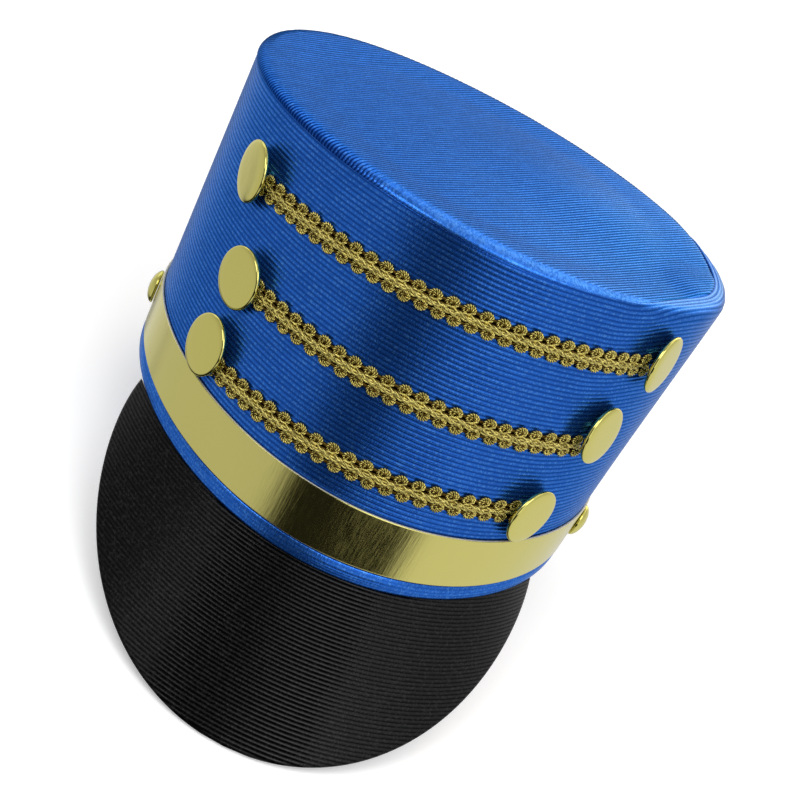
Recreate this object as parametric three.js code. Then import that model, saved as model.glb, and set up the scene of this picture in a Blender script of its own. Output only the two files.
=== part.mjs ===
// Costume soldier hat: a low shako of ribbed satin with a stiff peak, a gold band, gimp braids and buttons.
// Millimetres, +Z up. The front of the hat faces -Y.
// Every piece is modelled with the hat level on its rim. The whole hat is then tipped back until it rests on
// the tip of its peak and the back of its rim, as it stands on a table.
import * as THREE from 'three';

const { degToRad, lerp } = THREE.MathUtils;

// Crown: an oval tube that widens towards the top and leans back a little
const BASE_HALF_WIDTH = 88;
const BASE_HALF_LENGTH = 105;
const TOP_HALF_WIDTH = 97;
const TOP_HALF_LENGTH = 106;
const CROWN_HEIGHT = 115;
const TOP_SET_BACK = 10;
const FRONT_DIP = 11; // how far the front of the rim hangs below its sides
const WALL = 2.2;
const HEM_HEIGHT = 5.4;
const HEM_ROLL = 1;
// Section of the rolled hem, as shares of its roll and height
const HEM_SECTION = [
  { out: 0.4, up: 0 },
  { out: 1, up: 0.3 },
  { out: 1, up: 0.75 },
  { out: 0, up: 1 },
];

// Crown top: a padded ridge round a shallow dish with a flat middle
const RIDGE_HEIGHT = 2.3;
const RIDGE_WIDTH = 3.6;
const DISH_DEPTH = 2.4;
const TOP_THICKNESS = 2;
// Section of the ridge from its outside inwards, as shares of its width and height
const RIDGE_SECTION = [
  { inward: 0.14, up: 0 },
  { inward: 0, up: 0.35 },
  { inward: 0.15, up: 0.8 },
  { inward: 0.45, up: 1 },
  { inward: 0.75, up: 0.75 },
];
// Section of the dish from the ridge inwards, as shares of the crown's radius and the depth
const DISH_SECTION = [
  { reach: 0.967, up: 0.5 },
  { reach: 0.938, up: 0.35 },
  { reach: 0.7, up: 0.15 },
  { reach: 0.35, up: 0 },
  { reach: 0, up: 0 },
];

// Gold band
const BAND_BOTTOM = 5.6;
const BAND_TOP = 23.6;
const BAND_THICKNESS = 1;

// Peak: straight rulings that leave the rim forward and down, under a rounded outline
const PEAK_LENGTH = 69;
const PEAK_HALF_WIDTH = 80;
const PEAK_SLOPE = degToRad(44);
const PEAK_THICKNESS = 1.8;
const PEAK_SPREAD = 0.16; // how far the rulings fan out sideways, as a share of their length
const PEAK_POWER = { across: 2.1, along: 2 }; // roundness of the outline, 2 and 2 is an ellipse
const PEAK_LEAST_LENGTH = 3;

// Braid: a strip with a raised middle and scalloped edges, one edge half a pitch ahead of the other
const BRAID_PITCH = 6.3;
const BRAID_CORE_HALF_WIDTH = 3.6;
const BRAID_SCALLOP = 1.8;
const BRAID_EDGE_THICKNESS = 1;
const BRAID_MIDDLE_THICKNESS = 1.5;

// Front buttons: flat discs on short shanks, high enough for a braid's end to tuck under
const BUTTON_RADIUS = 11.5;
const BUTTON_THICKNESS = 2.4;
const BUTTON_EDGE = 0.9;
const SHANK_RADIUS = 3;
const SHANK_HEIGHT = 2;

// Side buttons: small domes on the band
const SIDE_BUTTON_RADIUS = 6.5;
const SIDE_BUTTON_HEIGHT = 3.4;
const SIDE_BUTTON_LEVEL = (BAND_BOTTOM + BAND_TOP) / 2;

// Neighbouring pieces stay this far apart
const GAP = 0.3;

// Facets
const CROWN_SIDES = 64;
const BUTTON_SIDES = 20;
const SIDE_BUTTON_SIDES = 16;
const SCALLOP_STEPS = 4;
const PEAK_STEPS = { across: 36, along: 7 };

// The crown is turned round at this radius and then pressed to its oval
const ROUND_RADIUS = 100;
// A turn small enough to measure a surface's slope over
const SMALL_TURN = 0.01;

// Front trim, one row for each braid. A turn is in degrees from the front, positive on the +X side, and a
// level is a height on the crown. A braid's level at each end differs a little from its buttons', as sewn.
// A tip is how far a button is tipped outwards on its shank, in degrees.
const TRIM = [
  {
    row: 'upper',
    left: { turn: -51.9, level: 90.3, braidLevel: 90, tip: 8 },
    right: { turn: 51.5, level: 97.2, braidLevel: 94.4, tip: 6 },
  },
  {
    row: 'middle',
    left: { turn: -42.5, level: 60.9, braidLevel: 60.8, tip: 4 },
    right: { turn: 45.5, level: 68.5, braidLevel: 62.2, tip: 5 },
  },
  {
    row: 'lower',
    left: { turn: -42.8, level: 36, braidLevel: 31.6, tip: 6 },
    right: { turn: 40, level: 36.2, braidLevel: 35.7, tip: 5 },
  },
];
const SIDE_BUTTONS = [
  { side: 'left', turn: -90 },
  { side: 'right', turn: 82 },
];

const SATIN_BLUE = { color: 0x1f4fae, roughness: 0.45, metalness: 0 };
const SATIN_BLACK = { color: 0x17171a, roughness: 0.5, metalness: 0 };
const FOIL_GOLD = { color: 0xc9b458, roughness: 0.12, metalness: 1 };
const BUTTON_GOLD = { color: 0xc8b75c, roughness: 0.16, metalness: 1 };
const BRAID_GOLD = { color: 0xa88a2e, roughness: 0.4, metalness: 0.8 };

const hat = new THREE.Group();

/** Adds a named piece with its own finish to the hat. */
function addPiece(name, geometry, finish) {
  const piece = new THREE.Mesh(geometry, new THREE.MeshStandardMaterial(finish));
  piece.name = name;
  hat.add(piece);
  return piece;
}

/** The place of a point of the round crown, given its turn from the front, radius and height, on the oval. */
function crownPlace(turn, radius, height) {
  const rise = height / CROWN_HEIGHT;
  const spread = radius / ROUND_RADIUS;
  const front = Math.max(Math.cos(turn), 0);
  const halfWidth = spread * lerp(BASE_HALF_WIDTH, TOP_HALF_WIDTH, rise);
  const halfLength = spread * lerp(BASE_HALF_LENGTH, TOP_HALF_LENGTH, rise);
  return new THREE.Vector3(
    halfWidth * Math.sin(turn),
    TOP_SET_BACK * rise - halfLength * Math.cos(turn),
    height - FRONT_DIP * front ** 2 * (1 - rise),
  );
}

/** The crown wall's outward normal at a turn and height. */
function crownNormal(turn, height) {
  const wallPlace = (atTurn, atHeight) => crownPlace(atTurn, ROUND_RADIUS, atHeight);
  const along = wallPlace(turn + SMALL_TURN, height).sub(wallPlace(turn - SMALL_TURN, height));
  const up = wallPlace(turn, CROWN_HEIGHT).sub(wallPlace(turn, 0));
  return along.cross(up).normalize();
}

/** Moves every vertex of a geometry to the place that a function gives for it. */
function reshape(geometry, placeOf) {
  const points = geometry.attributes.position;
  const vertex = new THREE.Vector3();
  for (let i = 0; i < points.count; i += 1) {
    const place = placeOf(vertex.fromBufferAttribute(points, i));
    points.setXYZ(i, place.x, place.y, place.z);
  }
  return geometry;
}

/** Turns a profile of [radius, height] pairs round the crown's axis and presses it to the crown's oval. */
function turnedOnCrown(profile) {
  const points = profile.map(([radius, height]) => new THREE.Vector2(radius, height));
  const ring = new THREE.LatheGeometry(points, CROWN_SIDES);
  return reshape(ring, ({ x, y, z }) => crownPlace(Math.atan2(x, z), Math.hypot(x, z), y));
}

/** A quarter round from its lower outer end to its upper inner end, as [radius, height] pairs. */
function quarterRound(radius, height, roundOut, roundUp, steps) {
  const points = [];
  for (let i = 0; i <= steps; i += 1) {
    const swing = (i / steps) * (Math.PI / 2);
    points.push([radius - roundOut * (1 - Math.cos(swing)), height - roundUp * (1 - Math.sin(swing))]);
  }
  return points;
}

/** Turns a profile of [radius, height] pairs round the Z axis. */
function turned(profile, sides) {
  const points = profile.map(([radius, height]) => new THREE.Vector2(radius, height));
  return new THREE.LatheGeometry(points, sides).rotateX(Math.PI / 2);
}

// Crown side: the wall, from the rolled hem up to the rounded edge that carries the top
function crownSide() {
  const outside = ROUND_RADIUS;
  const inside = ROUND_RADIUS - WALL;
  const top = CROWN_HEIGHT - RIDGE_HEIGHT - GAP;
  return turnedOnCrown([
    [inside, 0],
    ...HEM_SECTION.map(({ out, up }) => [outside + out * HEM_ROLL, up * HEM_HEIGHT]),
    ...quarterRound(outside, top, WALL / 2, WALL / 2, 2),
    [inside, top],
    [inside, 0],
  ]);
}

// Crown top: a shallow dish whose padded ridge lies on the wall's upper edge
function crownTop() {
  const ridgeBottom = CROWN_HEIGHT - RIDGE_HEIGHT;
  const dish = CROWN_HEIGHT - DISH_DEPTH;
  const underside = dish - TOP_THICKNESS;
  const edge = ROUND_RADIUS + GAP;
  const insideWall = ROUND_RADIUS - WALL - GAP;
  return turnedOnCrown([
    [0, underside],
    [insideWall, underside],
    [insideWall, ridgeBottom],
    ...RIDGE_SECTION.map(({ inward, up }) => [edge - inward * RIDGE_WIDTH, ridgeBottom + up * RIDGE_HEIGHT]),
    ...DISH_SECTION.map(({ reach, up }) => [reach * ROUND_RADIUS, dish + up * DISH_DEPTH]),
  ]);
}

// Gold band: a flat strip round the wall, above the hem
function goldBand() {
  const inside = ROUND_RADIUS + GAP;
  const outside = inside + BAND_THICKNESS;
  return turnedOnCrown([
    [inside, BAND_BOTTOM],
    [outside, BAND_BOTTOM],
    [outside, BAND_TOP],
    [inside, BAND_TOP],
    [inside, BAND_BOTTOM],
  ]);
}

/** The peak's upper face: across is -1 to 1 round the rim, and along is 0 at the rim and 1 at the edge. */
function peakPlace(across, along) {
  const turn = Math.asin((across * PEAK_HALF_WIDTH) / BASE_HALF_WIDTH);
  const root = crownPlace(turn, ROUND_RADIUS, 0);
  const fullness = (1 - Math.abs(across) ** PEAK_POWER.across) ** (1 / PEAK_POWER.along);
  const reach = along * lerp(PEAK_LEAST_LENGTH, PEAK_LENGTH, fullness);
  return root.add(new THREE.Vector3(
    across * PEAK_SPREAD * reach,
    -reach * Math.cos(PEAK_SLOPE),
    -reach * Math.sin(PEAK_SLOPE) - GAP,
  ));
}

/** The outward normal of the peak's upper face. */
function peakNormal(across, along) {
  const right = Math.min(across + SMALL_TURN, 1);
  const left = Math.max(across - SMALL_TURN, -1);
  const sideways = peakPlace(right, along).sub(peakPlace(left, along));
  const backwards = peakPlace(across, 0).sub(peakPlace(across, 1));
  return sideways.cross(backwards).normalize();
}

// Peak: an arched board that leaves the underside of the rim and slopes down to the front
function peak() {
  const board = new THREE.BoxGeometry(2, 1, 1, PEAK_STEPS.across, PEAK_STEPS.along, 1);
  return reshape(board, ({ x, y, z }) => {
    const across = Math.sin((x * Math.PI) / 2);
    const along = 0.5 - y;
    const depth = (z - 0.5) * PEAK_THICKNESS;
    return peakPlace(across, along).addScaledVector(peakNormal(across, along), depth);
  });
}

/** The length along the crown's wall between two turns at a level. */
function wallLength(fromTurn, toTurn, level) {
  const steps = 60;
  let length = 0;
  for (let i = 0; i < steps; i += 1) {
    const from = crownPlace(lerp(fromTurn, toTurn, i / steps), ROUND_RADIUS, level);
    const to = crownPlace(lerp(fromTurn, toTurn, (i + 1) / steps), ROUND_RADIUS, level);
    length += from.distanceTo(to);
  }
  return length;
}

// Braid: a strip laid on the wall between the shanks of its two buttons, scalloped along both edges
function braid({ left, right }) {
  const clearOfShank = (SHANK_RADIUS + 2 * GAP) / BASE_HALF_WIDTH;
  const fromTurn = degToRad(left.turn) + clearOfShank;
  const toTurn = degToRad(right.turn) - clearOfShank;
  const scallops = Math.round(wallLength(fromTurn, toTurn, (left.level + right.level) / 2) / BRAID_PITCH);
  const strip = new THREE.BoxGeometry(1, 2, 1, scallops * SCALLOP_STEPS, 2, 1);
  return reshape(strip, ({ x, y, z }) => {
    const share = x + 0.5;
    const turn = lerp(fromTurn, toTurn, share);
    const phase = scallops * share + (y < 0 ? 0.5 : 0);
    const halfWidth = BRAID_CORE_HALF_WIDTH + BRAID_SCALLOP * Math.abs(Math.sin(Math.PI * phase));
    const level = lerp(left.braidLevel, right.braidLevel, share) + y * halfWidth;
    const thickness = lerp(BRAID_MIDDLE_THICKNESS, BRAID_EDGE_THICKNESS, Math.abs(y));
    const lift = GAP + (z + 0.5) * thickness;
    return crownPlace(turn, ROUND_RADIUS, level).addScaledVector(crownNormal(turn, level), lift);
  });
}

// Front button: a flat disc with a rounded edge, on a shank
function frontButton() {
  const face = SHANK_HEIGHT + BUTTON_THICKNESS;
  return turned([
    [0, 0],
    [SHANK_RADIUS, 0],
    [SHANK_RADIUS, SHANK_HEIGHT],
    [BUTTON_RADIUS - BUTTON_EDGE, SHANK_HEIGHT],
    [BUTTON_RADIUS, SHANK_HEIGHT + BUTTON_EDGE],
    ...quarterRound(BUTTON_RADIUS, face, BUTTON_EDGE, BUTTON_EDGE, 2),
    [0, face],
  ], BUTTON_SIDES);
}

// Side button: a small dome with a flat back
function sideButton() {
  const radius = SIDE_BUTTON_RADIUS;
  const height = SIDE_BUTTON_HEIGHT;
  return turned([[0, 0], ...quarterRound(radius, height, radius, height, 4)], SIDE_BUTTON_SIDES);
}

/** Seats a button on the wall at a turn and level, a lift away from it, tipped outwards about the axis. */
function seat(button, turn, level, lift, tip) {
  const normal = crownNormal(turn, level);
  button.position.copy(crownPlace(turn, ROUND_RADIUS, level)).addScaledVector(normal, lift);
  normal.applyAxisAngle(new THREE.Vector3(0, 0, 1), Math.sign(turn) * tip);
  button.quaternion.setFromUnitVectors(new THREE.Vector3(0, 0, 1), normal);
}

addPiece('crown_side', crownSide(), SATIN_BLUE);
addPiece('crown_top', crownTop(), SATIN_BLUE);
addPiece('gold_band', goldBand(), FOIL_GOLD);
addPiece('peak', peak(), SATIN_BLACK);
for (const trim of TRIM) {
  addPiece(`braid_${trim.row}`, braid(trim), BRAID_GOLD);
  for (const side of ['left', 'right']) {
    const { turn, level, tip } = trim[side];
    const button = addPiece(`button_${trim.row}_${side}`, frontButton(), BUTTON_GOLD);
    const tipAngle = degToRad(tip);
    seat(button, degToRad(turn), level, GAP + SHANK_RADIUS * Math.sin(tipAngle), tipAngle);
  }
}
for (const { side, turn } of SIDE_BUTTONS) {
  const button = addPiece(`side_button_${side}`, sideButton(), BUTTON_GOLD);
  seat(button, degToRad(turn), SIDE_BUTTON_LEVEL, BAND_THICKNESS + 2 * GAP, 0);
}

// Tip the hat back until the peak's lower edge is level with the back of the rim
const peakTip = peakPlace(0, 1).addScaledVector(peakNormal(0, 1), -PEAK_THICKNESS);
const rimBack = crownPlace(Math.PI, ROUND_RADIUS + HEM_SECTION[0].out * HEM_ROLL, 0);
hat.rotation.x = -Math.atan2(rimBack.z - peakTip.z, rimBack.y - peakTip.y);

// The origin is under the middle of the hat, on the surface that it rests on
const box = new THREE.Box3().setFromObject(hat, true);
const middle = box.getCenter(new THREE.Vector3());
hat.position.set(-middle.x, -middle.y, -box.min.z);

const model = new THREE.Group();
model.add(hat);

export default model;
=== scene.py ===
"""Looks of a costume soldier hat: ribbed satin crown and peak, gold foil band, gimp braids and gold buttons.

Sizes are in millimetres and describe the hat level on its rim, with its front towards -Y. HatForm.rest turns
a place on that hat into metres in the frame, where the hat is tipped back on its peak and the back of its
rim. A turn is an angle round the crown from its front, positive on the +X side. A level is a height on its
wall. A Pair holds the two ends of a stretch over which something eases in.
"""

import logging
import math
from dataclasses import dataclass, field, replace
from enum import Enum
from typing import Optional, Sequence

import bmesh
import bpy
import numpy as np
from mathutils import Matrix, Vector


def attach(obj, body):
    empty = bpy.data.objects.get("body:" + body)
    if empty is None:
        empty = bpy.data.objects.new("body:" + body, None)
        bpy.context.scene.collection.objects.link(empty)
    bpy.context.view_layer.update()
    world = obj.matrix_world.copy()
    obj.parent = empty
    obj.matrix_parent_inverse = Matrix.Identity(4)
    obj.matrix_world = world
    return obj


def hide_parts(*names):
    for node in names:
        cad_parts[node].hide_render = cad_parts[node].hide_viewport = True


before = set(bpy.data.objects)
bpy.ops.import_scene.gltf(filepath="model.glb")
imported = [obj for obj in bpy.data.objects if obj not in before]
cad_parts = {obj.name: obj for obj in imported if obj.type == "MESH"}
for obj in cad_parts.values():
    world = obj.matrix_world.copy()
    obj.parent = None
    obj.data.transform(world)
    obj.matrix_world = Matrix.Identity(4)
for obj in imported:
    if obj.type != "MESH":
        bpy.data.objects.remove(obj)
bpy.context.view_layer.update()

log = logging.getLogger("soldier_hat")

METRES = 0.001
BODY = "root"
# Small steps: for slopes, for merging vertices, and so that a row in a groove counts to the rib above it
SMALL_TURN = 0.01
MERGE = 1e-5
ROW_SLACK = 1e-6
# The rise by which plain cloth is coloured, inside and below
PLAIN_RISE = 0.6
Colour = tuple[float, float, float]
Grain = tuple[float, float, float]
Pair = tuple[float, float]


class Slot(Enum):
    """The record's material slots."""

    BLUE_SATIN = "blue_satin"
    BLACK_SATIN = "black_satin"
    FOIL = "gold_foil"
    BRAID = "gold_braid"
    BUTTON = "gold_button"


class Side(Enum):
    """The hat's sides as the front view shows them."""

    LEFT = "left"
    RIGHT = "right"


def smooth_step(low: float, high: float, value: np.ndarray) -> np.ndarray:
    """Eases from 0 at low to 1 at high."""
    share = np.clip((value - low) / (high - low), 0, 1)
    return share * share * (3 - 2 * share)


@dataclass(frozen=True)
class HatForm:
    """The crown's oval wall and the way the hat rests, as in the part's source."""

    base_half_width: float = 88
    base_half_length: float = 105
    top_half_width: float = 97
    top_half_length: float = 106
    height: float = 115
    top_set_back: float = 10
    front_dip: float = 11
    wall: float = 2.2
    round_radius: float = 100
    gap: float = 0.3
    corner_rise: float = 0.8
    corner_turn: float = math.radians(-125)
    corner_half: float = math.radians(55)
    tip_back: float = math.radians(-13.163123960818172)
    seat: tuple[float, float, float] = (0, 12.54478830280729, 24.006686791898048)

    def place(self, turn: np.ndarray, radius: np.ndarray, level: np.ndarray) -> np.ndarray:
        """Presses points of a round crown to the oval.

        Args:
            turn: Angles from the front.
            radius: Distances from the axis on a crown that is round, where the wall is at round_radius.
            level: Heights on the wall.

        Returns:
            The places on the level hat, one row each.
        """
        rise = level / self.height
        spread = radius / self.round_radius
        front = np.clip(np.cos(turn), 0, None)
        corner = self.corner_rise * smooth_step(self.corner_half, 0, np.abs(turn - self.corner_turn))
        half_width = spread * (self.base_half_width + (self.top_half_width - self.base_half_width) * rise)
        half_length = spread * (self.base_half_length + (self.top_half_length - self.base_half_length) * rise)
        return np.stack([
            half_width * np.sin(turn),
            self.top_set_back * rise - half_length * np.cos(turn),
            level - self.front_dip * front ** 2 * (1 - rise) + corner * (rise * spread) ** 3,
        ], axis=-1)

    def wall_place(self, turn: np.ndarray, level: np.ndarray) -> np.ndarray:
        """The places of points on the wall's outside."""
        return self.place(turn, np.full_like(turn, self.round_radius), level)

    def normal(self, turn: np.ndarray, level: np.ndarray) -> np.ndarray:
        """The wall's outward normals.

        Args:
            turn: Angles from the front.
            level: Heights on the wall.

        Returns:
            Unit normals, one row each.
        """
        along = self.wall_place(turn + SMALL_TURN, level) - self.wall_place(turn - SMALL_TURN, level)
        foot, head = np.zeros_like(turn), np.full_like(turn, self.height)
        up = self.wall_place(turn, head) - self.wall_place(turn, foot)
        outward = np.cross(along, up)
        return outward / np.linalg.norm(outward, axis=-1, keepdims=True)

    def rest_matrix(self) -> Matrix:
        """The turn and shift, in millimetres, from the level hat to the hat at rest."""
        return Matrix.Translation(self.seat) @ Matrix.Rotation(self.tip_back, 4, "X")

    def rest(self, places: np.ndarray) -> np.ndarray:
        """Moves places on the level hat to the hat at rest, in metres, pressed flat on the floor.

        Args:
            places: Places on the level hat, in millimetres.

        Returns:
            The same places on the hat at rest, none of them below the floor.
        """
        turned = np.array(self.rest_matrix())
        resting = (places @ turned[:3, :3].T + turned[:3, 3]) * METRES
        resting[:, 2] = np.maximum(resting[:, 2], 0)
        return resting


@dataclass(frozen=True)
class Ribs:
    """The cords that run through the ribbed satin, each a low round ridge between two grooves."""

    pitch: float = 1.52
    depth: float = 0.2
    steps: tuple[float, ...] = (0, 0.25, 0.5, 0.75)

    def count(self, low: float, high: float) -> int:
        """The number of whole ribs on a strip of cloth from low to high."""
        return max(round((high - low) / self.pitch), 1)

    def rows(self, low: float, high: float) -> list[float]:
        """The distances at which a strip of cloth is cut into rows, a few for each rib.

        Args:
            low: Where the strip starts.
            high: Where it ends.

        Returns:
            The distances, from low to high.
        """
        count = self.count(low, high)
        pitch = (high - low) / count
        rows = [low + (rib + step) * pitch for rib in range(count) for step in self.steps]
        return rows + [high]

    def rise(self, distance: np.ndarray, low: float, high: float) -> np.ndarray:
        """How far a strip of cloth stands out of its grooves.

        Args:
            distance: Where some points lie across the strip.
            low: Where the strip starts.
            high: Where it ends.

        Returns:
            From 0 in a groove to 1 on a rib's top.
        """
        share = np.mod((distance - low) / (high - low) * self.count(low, high) + ROW_SLACK, 1)
        return np.sin(math.pi * share)


class NodeSketch:
    """A short way to write a node tree."""

    def __init__(self, tree: bpy.types.NodeTree) -> None:
        """Starts from an empty tree."""
        self.tree = tree
        tree.nodes.clear()

    def add(self, kind: str, settings: Optional[dict] = None, **inputs: object) -> bpy.types.Node:
        """Adds a node.

        Args:
            kind: The node's type name.
            settings: The node's own properties.
            inputs: Values or sockets for its inputs, by name in lower case with _ for a space, or by number
                as _0.

        Returns:
            The new node.
        """
        node = self.tree.nodes.new(kind)
        for name, value in (settings or {}).items():
            setattr(node, name, value)
        for name, value in inputs.items():
            socket = self.socket(node, name)
            if isinstance(value, bpy.types.NodeSocket):
                self.tree.links.new(value, socket)
            else:
                socket.default_value = value
        return node

    @staticmethod
    def socket(node: bpy.types.Node, name: str) -> bpy.types.NodeSocket:
        """Finds an input of a node.

        Args:
            node: The node.
            name: The input's name in lower case with _ for a space, or its number as _0.

        Returns:
            The input.
        """
        if name.startswith("_"):
            return node.inputs[int(name[1:])]
        wanted = name.replace("_", " ")
        return next(s for s in node.inputs if s.enabled and s.name.lower() == wanted)

    def math(self, operation: str, first: object, second: object = 0.0) -> bpy.types.NodeSocket:
        """The result of a Math node."""
        return self.add("ShaderNodeMath", {"operation": operation}, _0=first, _1=second).outputs[0]

    def remap(self, value: bpy.types.NodeSocket, low: float, high: float, to_low: float,
              to_high: float) -> bpy.types.NodeSocket:
        """A value eased from one range to another."""
        return self.add("ShaderNodeMapRange", {"interpolation_type": "SMOOTHSTEP"}, value=value, from_min=low,
                        from_max=high, to_min=to_low, to_max=to_high).outputs["Result"]

    def mix(self, share: bpy.types.NodeSocket, first: object, second: object) -> bpy.types.NodeSocket:
        """Two colours mixed by a share."""
        node = self.add("ShaderNodeMix", {"data_type": "RGBA"}, factor=share, a=first, b=second)
        return node.outputs["Result"]

    def noise(self, vector: bpy.types.NodeSocket, scale: float, detail: float = 2,
              roughness: float = 0.5) -> bpy.types.NodeSocket:
        """Noise over a vector."""
        return self.add("ShaderNodeTexNoise", vector=vector, scale=scale, detail=detail,
                        roughness=roughness).outputs["Fac"]

    def scaled(self, vector: bpy.types.NodeSocket, scale: Sequence[float]) -> bpy.types.NodeSocket:
        """A vector stretched along its axes."""
        return self.add("ShaderNodeMapping", vector=vector, scale=tuple(scale)).outputs["Vector"]

    def bump(self, height: bpy.types.NodeSocket, distance: float, strength: float,
             normal: Optional[bpy.types.NodeSocket] = None) -> bpy.types.NodeSocket:
        """A bumped normal, over another where one is given."""
        below = {} if normal is None else {"normal": normal}
        return self.add("ShaderNodeBump", height=height, distance=distance, strength=strength,
                        **below).outputs["Normal"]


def opaque(colour: Sequence[float]) -> tuple[float, float, float, float]:
    """A colour with full alpha."""
    return (colour[0], colour[1], colour[2], 1.0)


class Finish:
    """A finish that makes its own node material once."""

    name: str

    def sketch(self, nodes: NodeSketch) -> bpy.types.Node:
        """Draws the finish's nodes and returns its shader."""
        raise NotImplementedError

    def material(self) -> bpy.types.Material:
        """Makes the finish's material at its first use.

        Returns:
            The material, the same one at every use.
        """
        found = bpy.data.materials.get(self.name)
        if found is not None:
            return found
        made = bpy.data.materials.new(self.name)
        made.use_nodes = True
        nodes = NodeSketch(made.node_tree)
        shader = self.sketch(nodes)
        nodes.add("ShaderNodeOutputMaterial", surface=shader.outputs[0])
        return made


@dataclass(frozen=True)
class RibbedSatin(Finish):
    """Satin woven over cords: filaments cross the ribs. The ribs' tops are coloured lighter and the grooves
    darker, as painted shade in the grooves.
    """

    name: str
    top_colour: Colour
    groove_shade_colour: Colour
    glint_colour: Colour
    edge_tint: Colour
    metallic: float
    roughness: float
    specular: float
    sparkle: float
    groove_to: float
    shine_from: float
    float_grain: Grain = (1900, 1700, 1)
    filament_grain: Grain = (1500, 700, 1)
    patch_grain: Grain = (70, 330, 1)

    def sketch(self, nodes: NodeSketch) -> bpy.types.Node:
        """Draws the satin on the cloth's own UV map.

        Args:
            nodes: The material's tree.

        Returns:
            The shader, coloured by the ribs' rise with painted shade in the grooves, with painted glints of
            fine filaments across the ribs' tops and a painted highlight where the rise passes 1.
        """
        cloth = nodes.add("ShaderNodeUVMap", {"uv_map": "cloth"}).outputs["UV"]
        rise = nodes.add("ShaderNodeAttribute", {"attribute_name": "rib_rise_and_painted_light"}).outputs["Fac"]
        floats = nodes.add("ShaderNodeTexVoronoi", vector=nodes.scaled(cloth, self.float_grain), scale=1.0)
        float_tone = nodes.add("ShaderNodeSeparateColor", color=floats.outputs["Color"]).outputs["Red"]
        filaments = nodes.noise(nodes.scaled(cloth, self.filament_grain), 1, 2, 0.6)
        patches = nodes.noise(nodes.scaled(cloth, self.patch_grain), 1, 2, 0.55)
        on_top = nodes.remap(rise, self.groove_to, 1, 0, 1)
        # Random darkening of the cloth colour, in slow patches and by float cell
        cloth_mottle = nodes.math("MULTIPLY", nodes.remap(patches, 0.25, 0.75, 0.62, 1),
                          nodes.remap(float_tone, 0, 0.6, 0.72, 1))
        # Painted shade: the grooves take a darker colour than the ribs' tops
        rib_shaded_colour = nodes.mix(nodes.math("MULTIPLY", on_top, cloth_mottle), opaque(self.groove_shade_colour),
                                 opaque(self.top_colour))
        # Painted glints: bright float cells on the ribs' tops lighten the colour
        glints = nodes.math("MULTIPLY", nodes.remap(float_tone, 0.6, 1, 0, self.sparkle), on_top)
        # Painted highlight: a pale speckled colour where the rise passes 1, on the smooth front of the top
        # panel's roll
        smooth_roll_highlight = nodes.math("MULTIPLY", nodes.remap(rise, 1.05, 1.6, 0, 1),
                               nodes.remap(float_tone, 0, 1, 0.1, 0.6))
        colour = nodes.mix(nodes.math("MAXIMUM", glints, smooth_roll_highlight), rib_shaded_colour, opaque(self.glint_colour))
        rough = nodes.remap(filaments, 0.3, 0.75, self.roughness + 0.06, self.roughness - 0.05)
        rough = nodes.math("ADD", rough, nodes.remap(rise, 1, 1.3, 0, 0.25))
        shine = nodes.remap(rise, self.shine_from, 1, 0, self.specular)
        return nodes.add(
            "ShaderNodeBsdfPrincipled", base_color=colour, metallic=self.metallic, roughness=rough,
            specular_ior_level=shine, specular_tint=opaque(self.edge_tint),
            normal=nodes.bump(filaments, 0.0001, 0.7))


@dataclass(frozen=True)
class GoldFoil(Finish):
    """Mirror foil on a strip, with a fine grain drawn across the strip."""

    name: str = "gold foil"
    colour: Colour = (0.76, 0.7, 0.225)
    roughness: float = 0.14
    hair_grain: Grain = (1500, 160, 1)
    brush_grain: Grain = (420, 35, 1)
    waver_grain: Grain = (45, 30, 1)

    def sketch(self, nodes: NodeSketch) -> bpy.types.Node:
        """Draws the foil: a slow waver of the strip and a grain of short hairs across it, on its UV map.

        Args:
            nodes: The material's tree.

        Returns:
            The shader.
        """
        strip = nodes.add("ShaderNodeUVMap", {"uv_map": "cloth"}).outputs["UV"]
        hairs = nodes.noise(nodes.scaled(strip, self.hair_grain), 1, 3, 0.65)
        brushed = nodes.noise(nodes.scaled(strip, self.brush_grain), 1, 2, 0.6)
        waver = nodes.noise(nodes.scaled(strip, self.waver_grain), 1, 1)
        rough = nodes.remap(hairs, 0.3, 0.75, self.roughness - 0.03, self.roughness + 0.06)
        normal = nodes.bump(waver, 0.0002, 0.25)
        normal = nodes.bump(brushed, 0.00012, 0.35, normal)
        normal = nodes.bump(hairs, 0.00004, 0.6, normal)
        return nodes.add("ShaderNodeBsdfPrincipled", base_color=opaque(self.colour), metallic=1.0,
                         roughness=rough, normal=normal)


@dataclass(frozen=True)
class CutEdge(Finish):
    """The pale bare edge of the foil strip."""

    name: str = "foil cut edge"
    colour: Colour = (0.8, 0.78, 0.62)
    speck_scale: float = 1800
    speck_shade: float = 0.75
    roughness: float = 0.5

    def sketch(self, nodes: NodeSketch) -> bpy.types.Node:
        """Draws the edge with faint specks from the knife.

        Args:
            nodes: The material's tree.

        Returns:
            The shader.
        """
        place = nodes.add("ShaderNodeTexCoord").outputs["Object"]
        specks = nodes.noise(place, self.speck_scale, 2)
        shade = opaque([self.speck_shade * part for part in self.colour])
        colour = nodes.mix(specks, shade, opaque(self.colour))
        return nodes.add("ShaderNodeBsdfPrincipled", base_color=colour, roughness=self.roughness)


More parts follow.
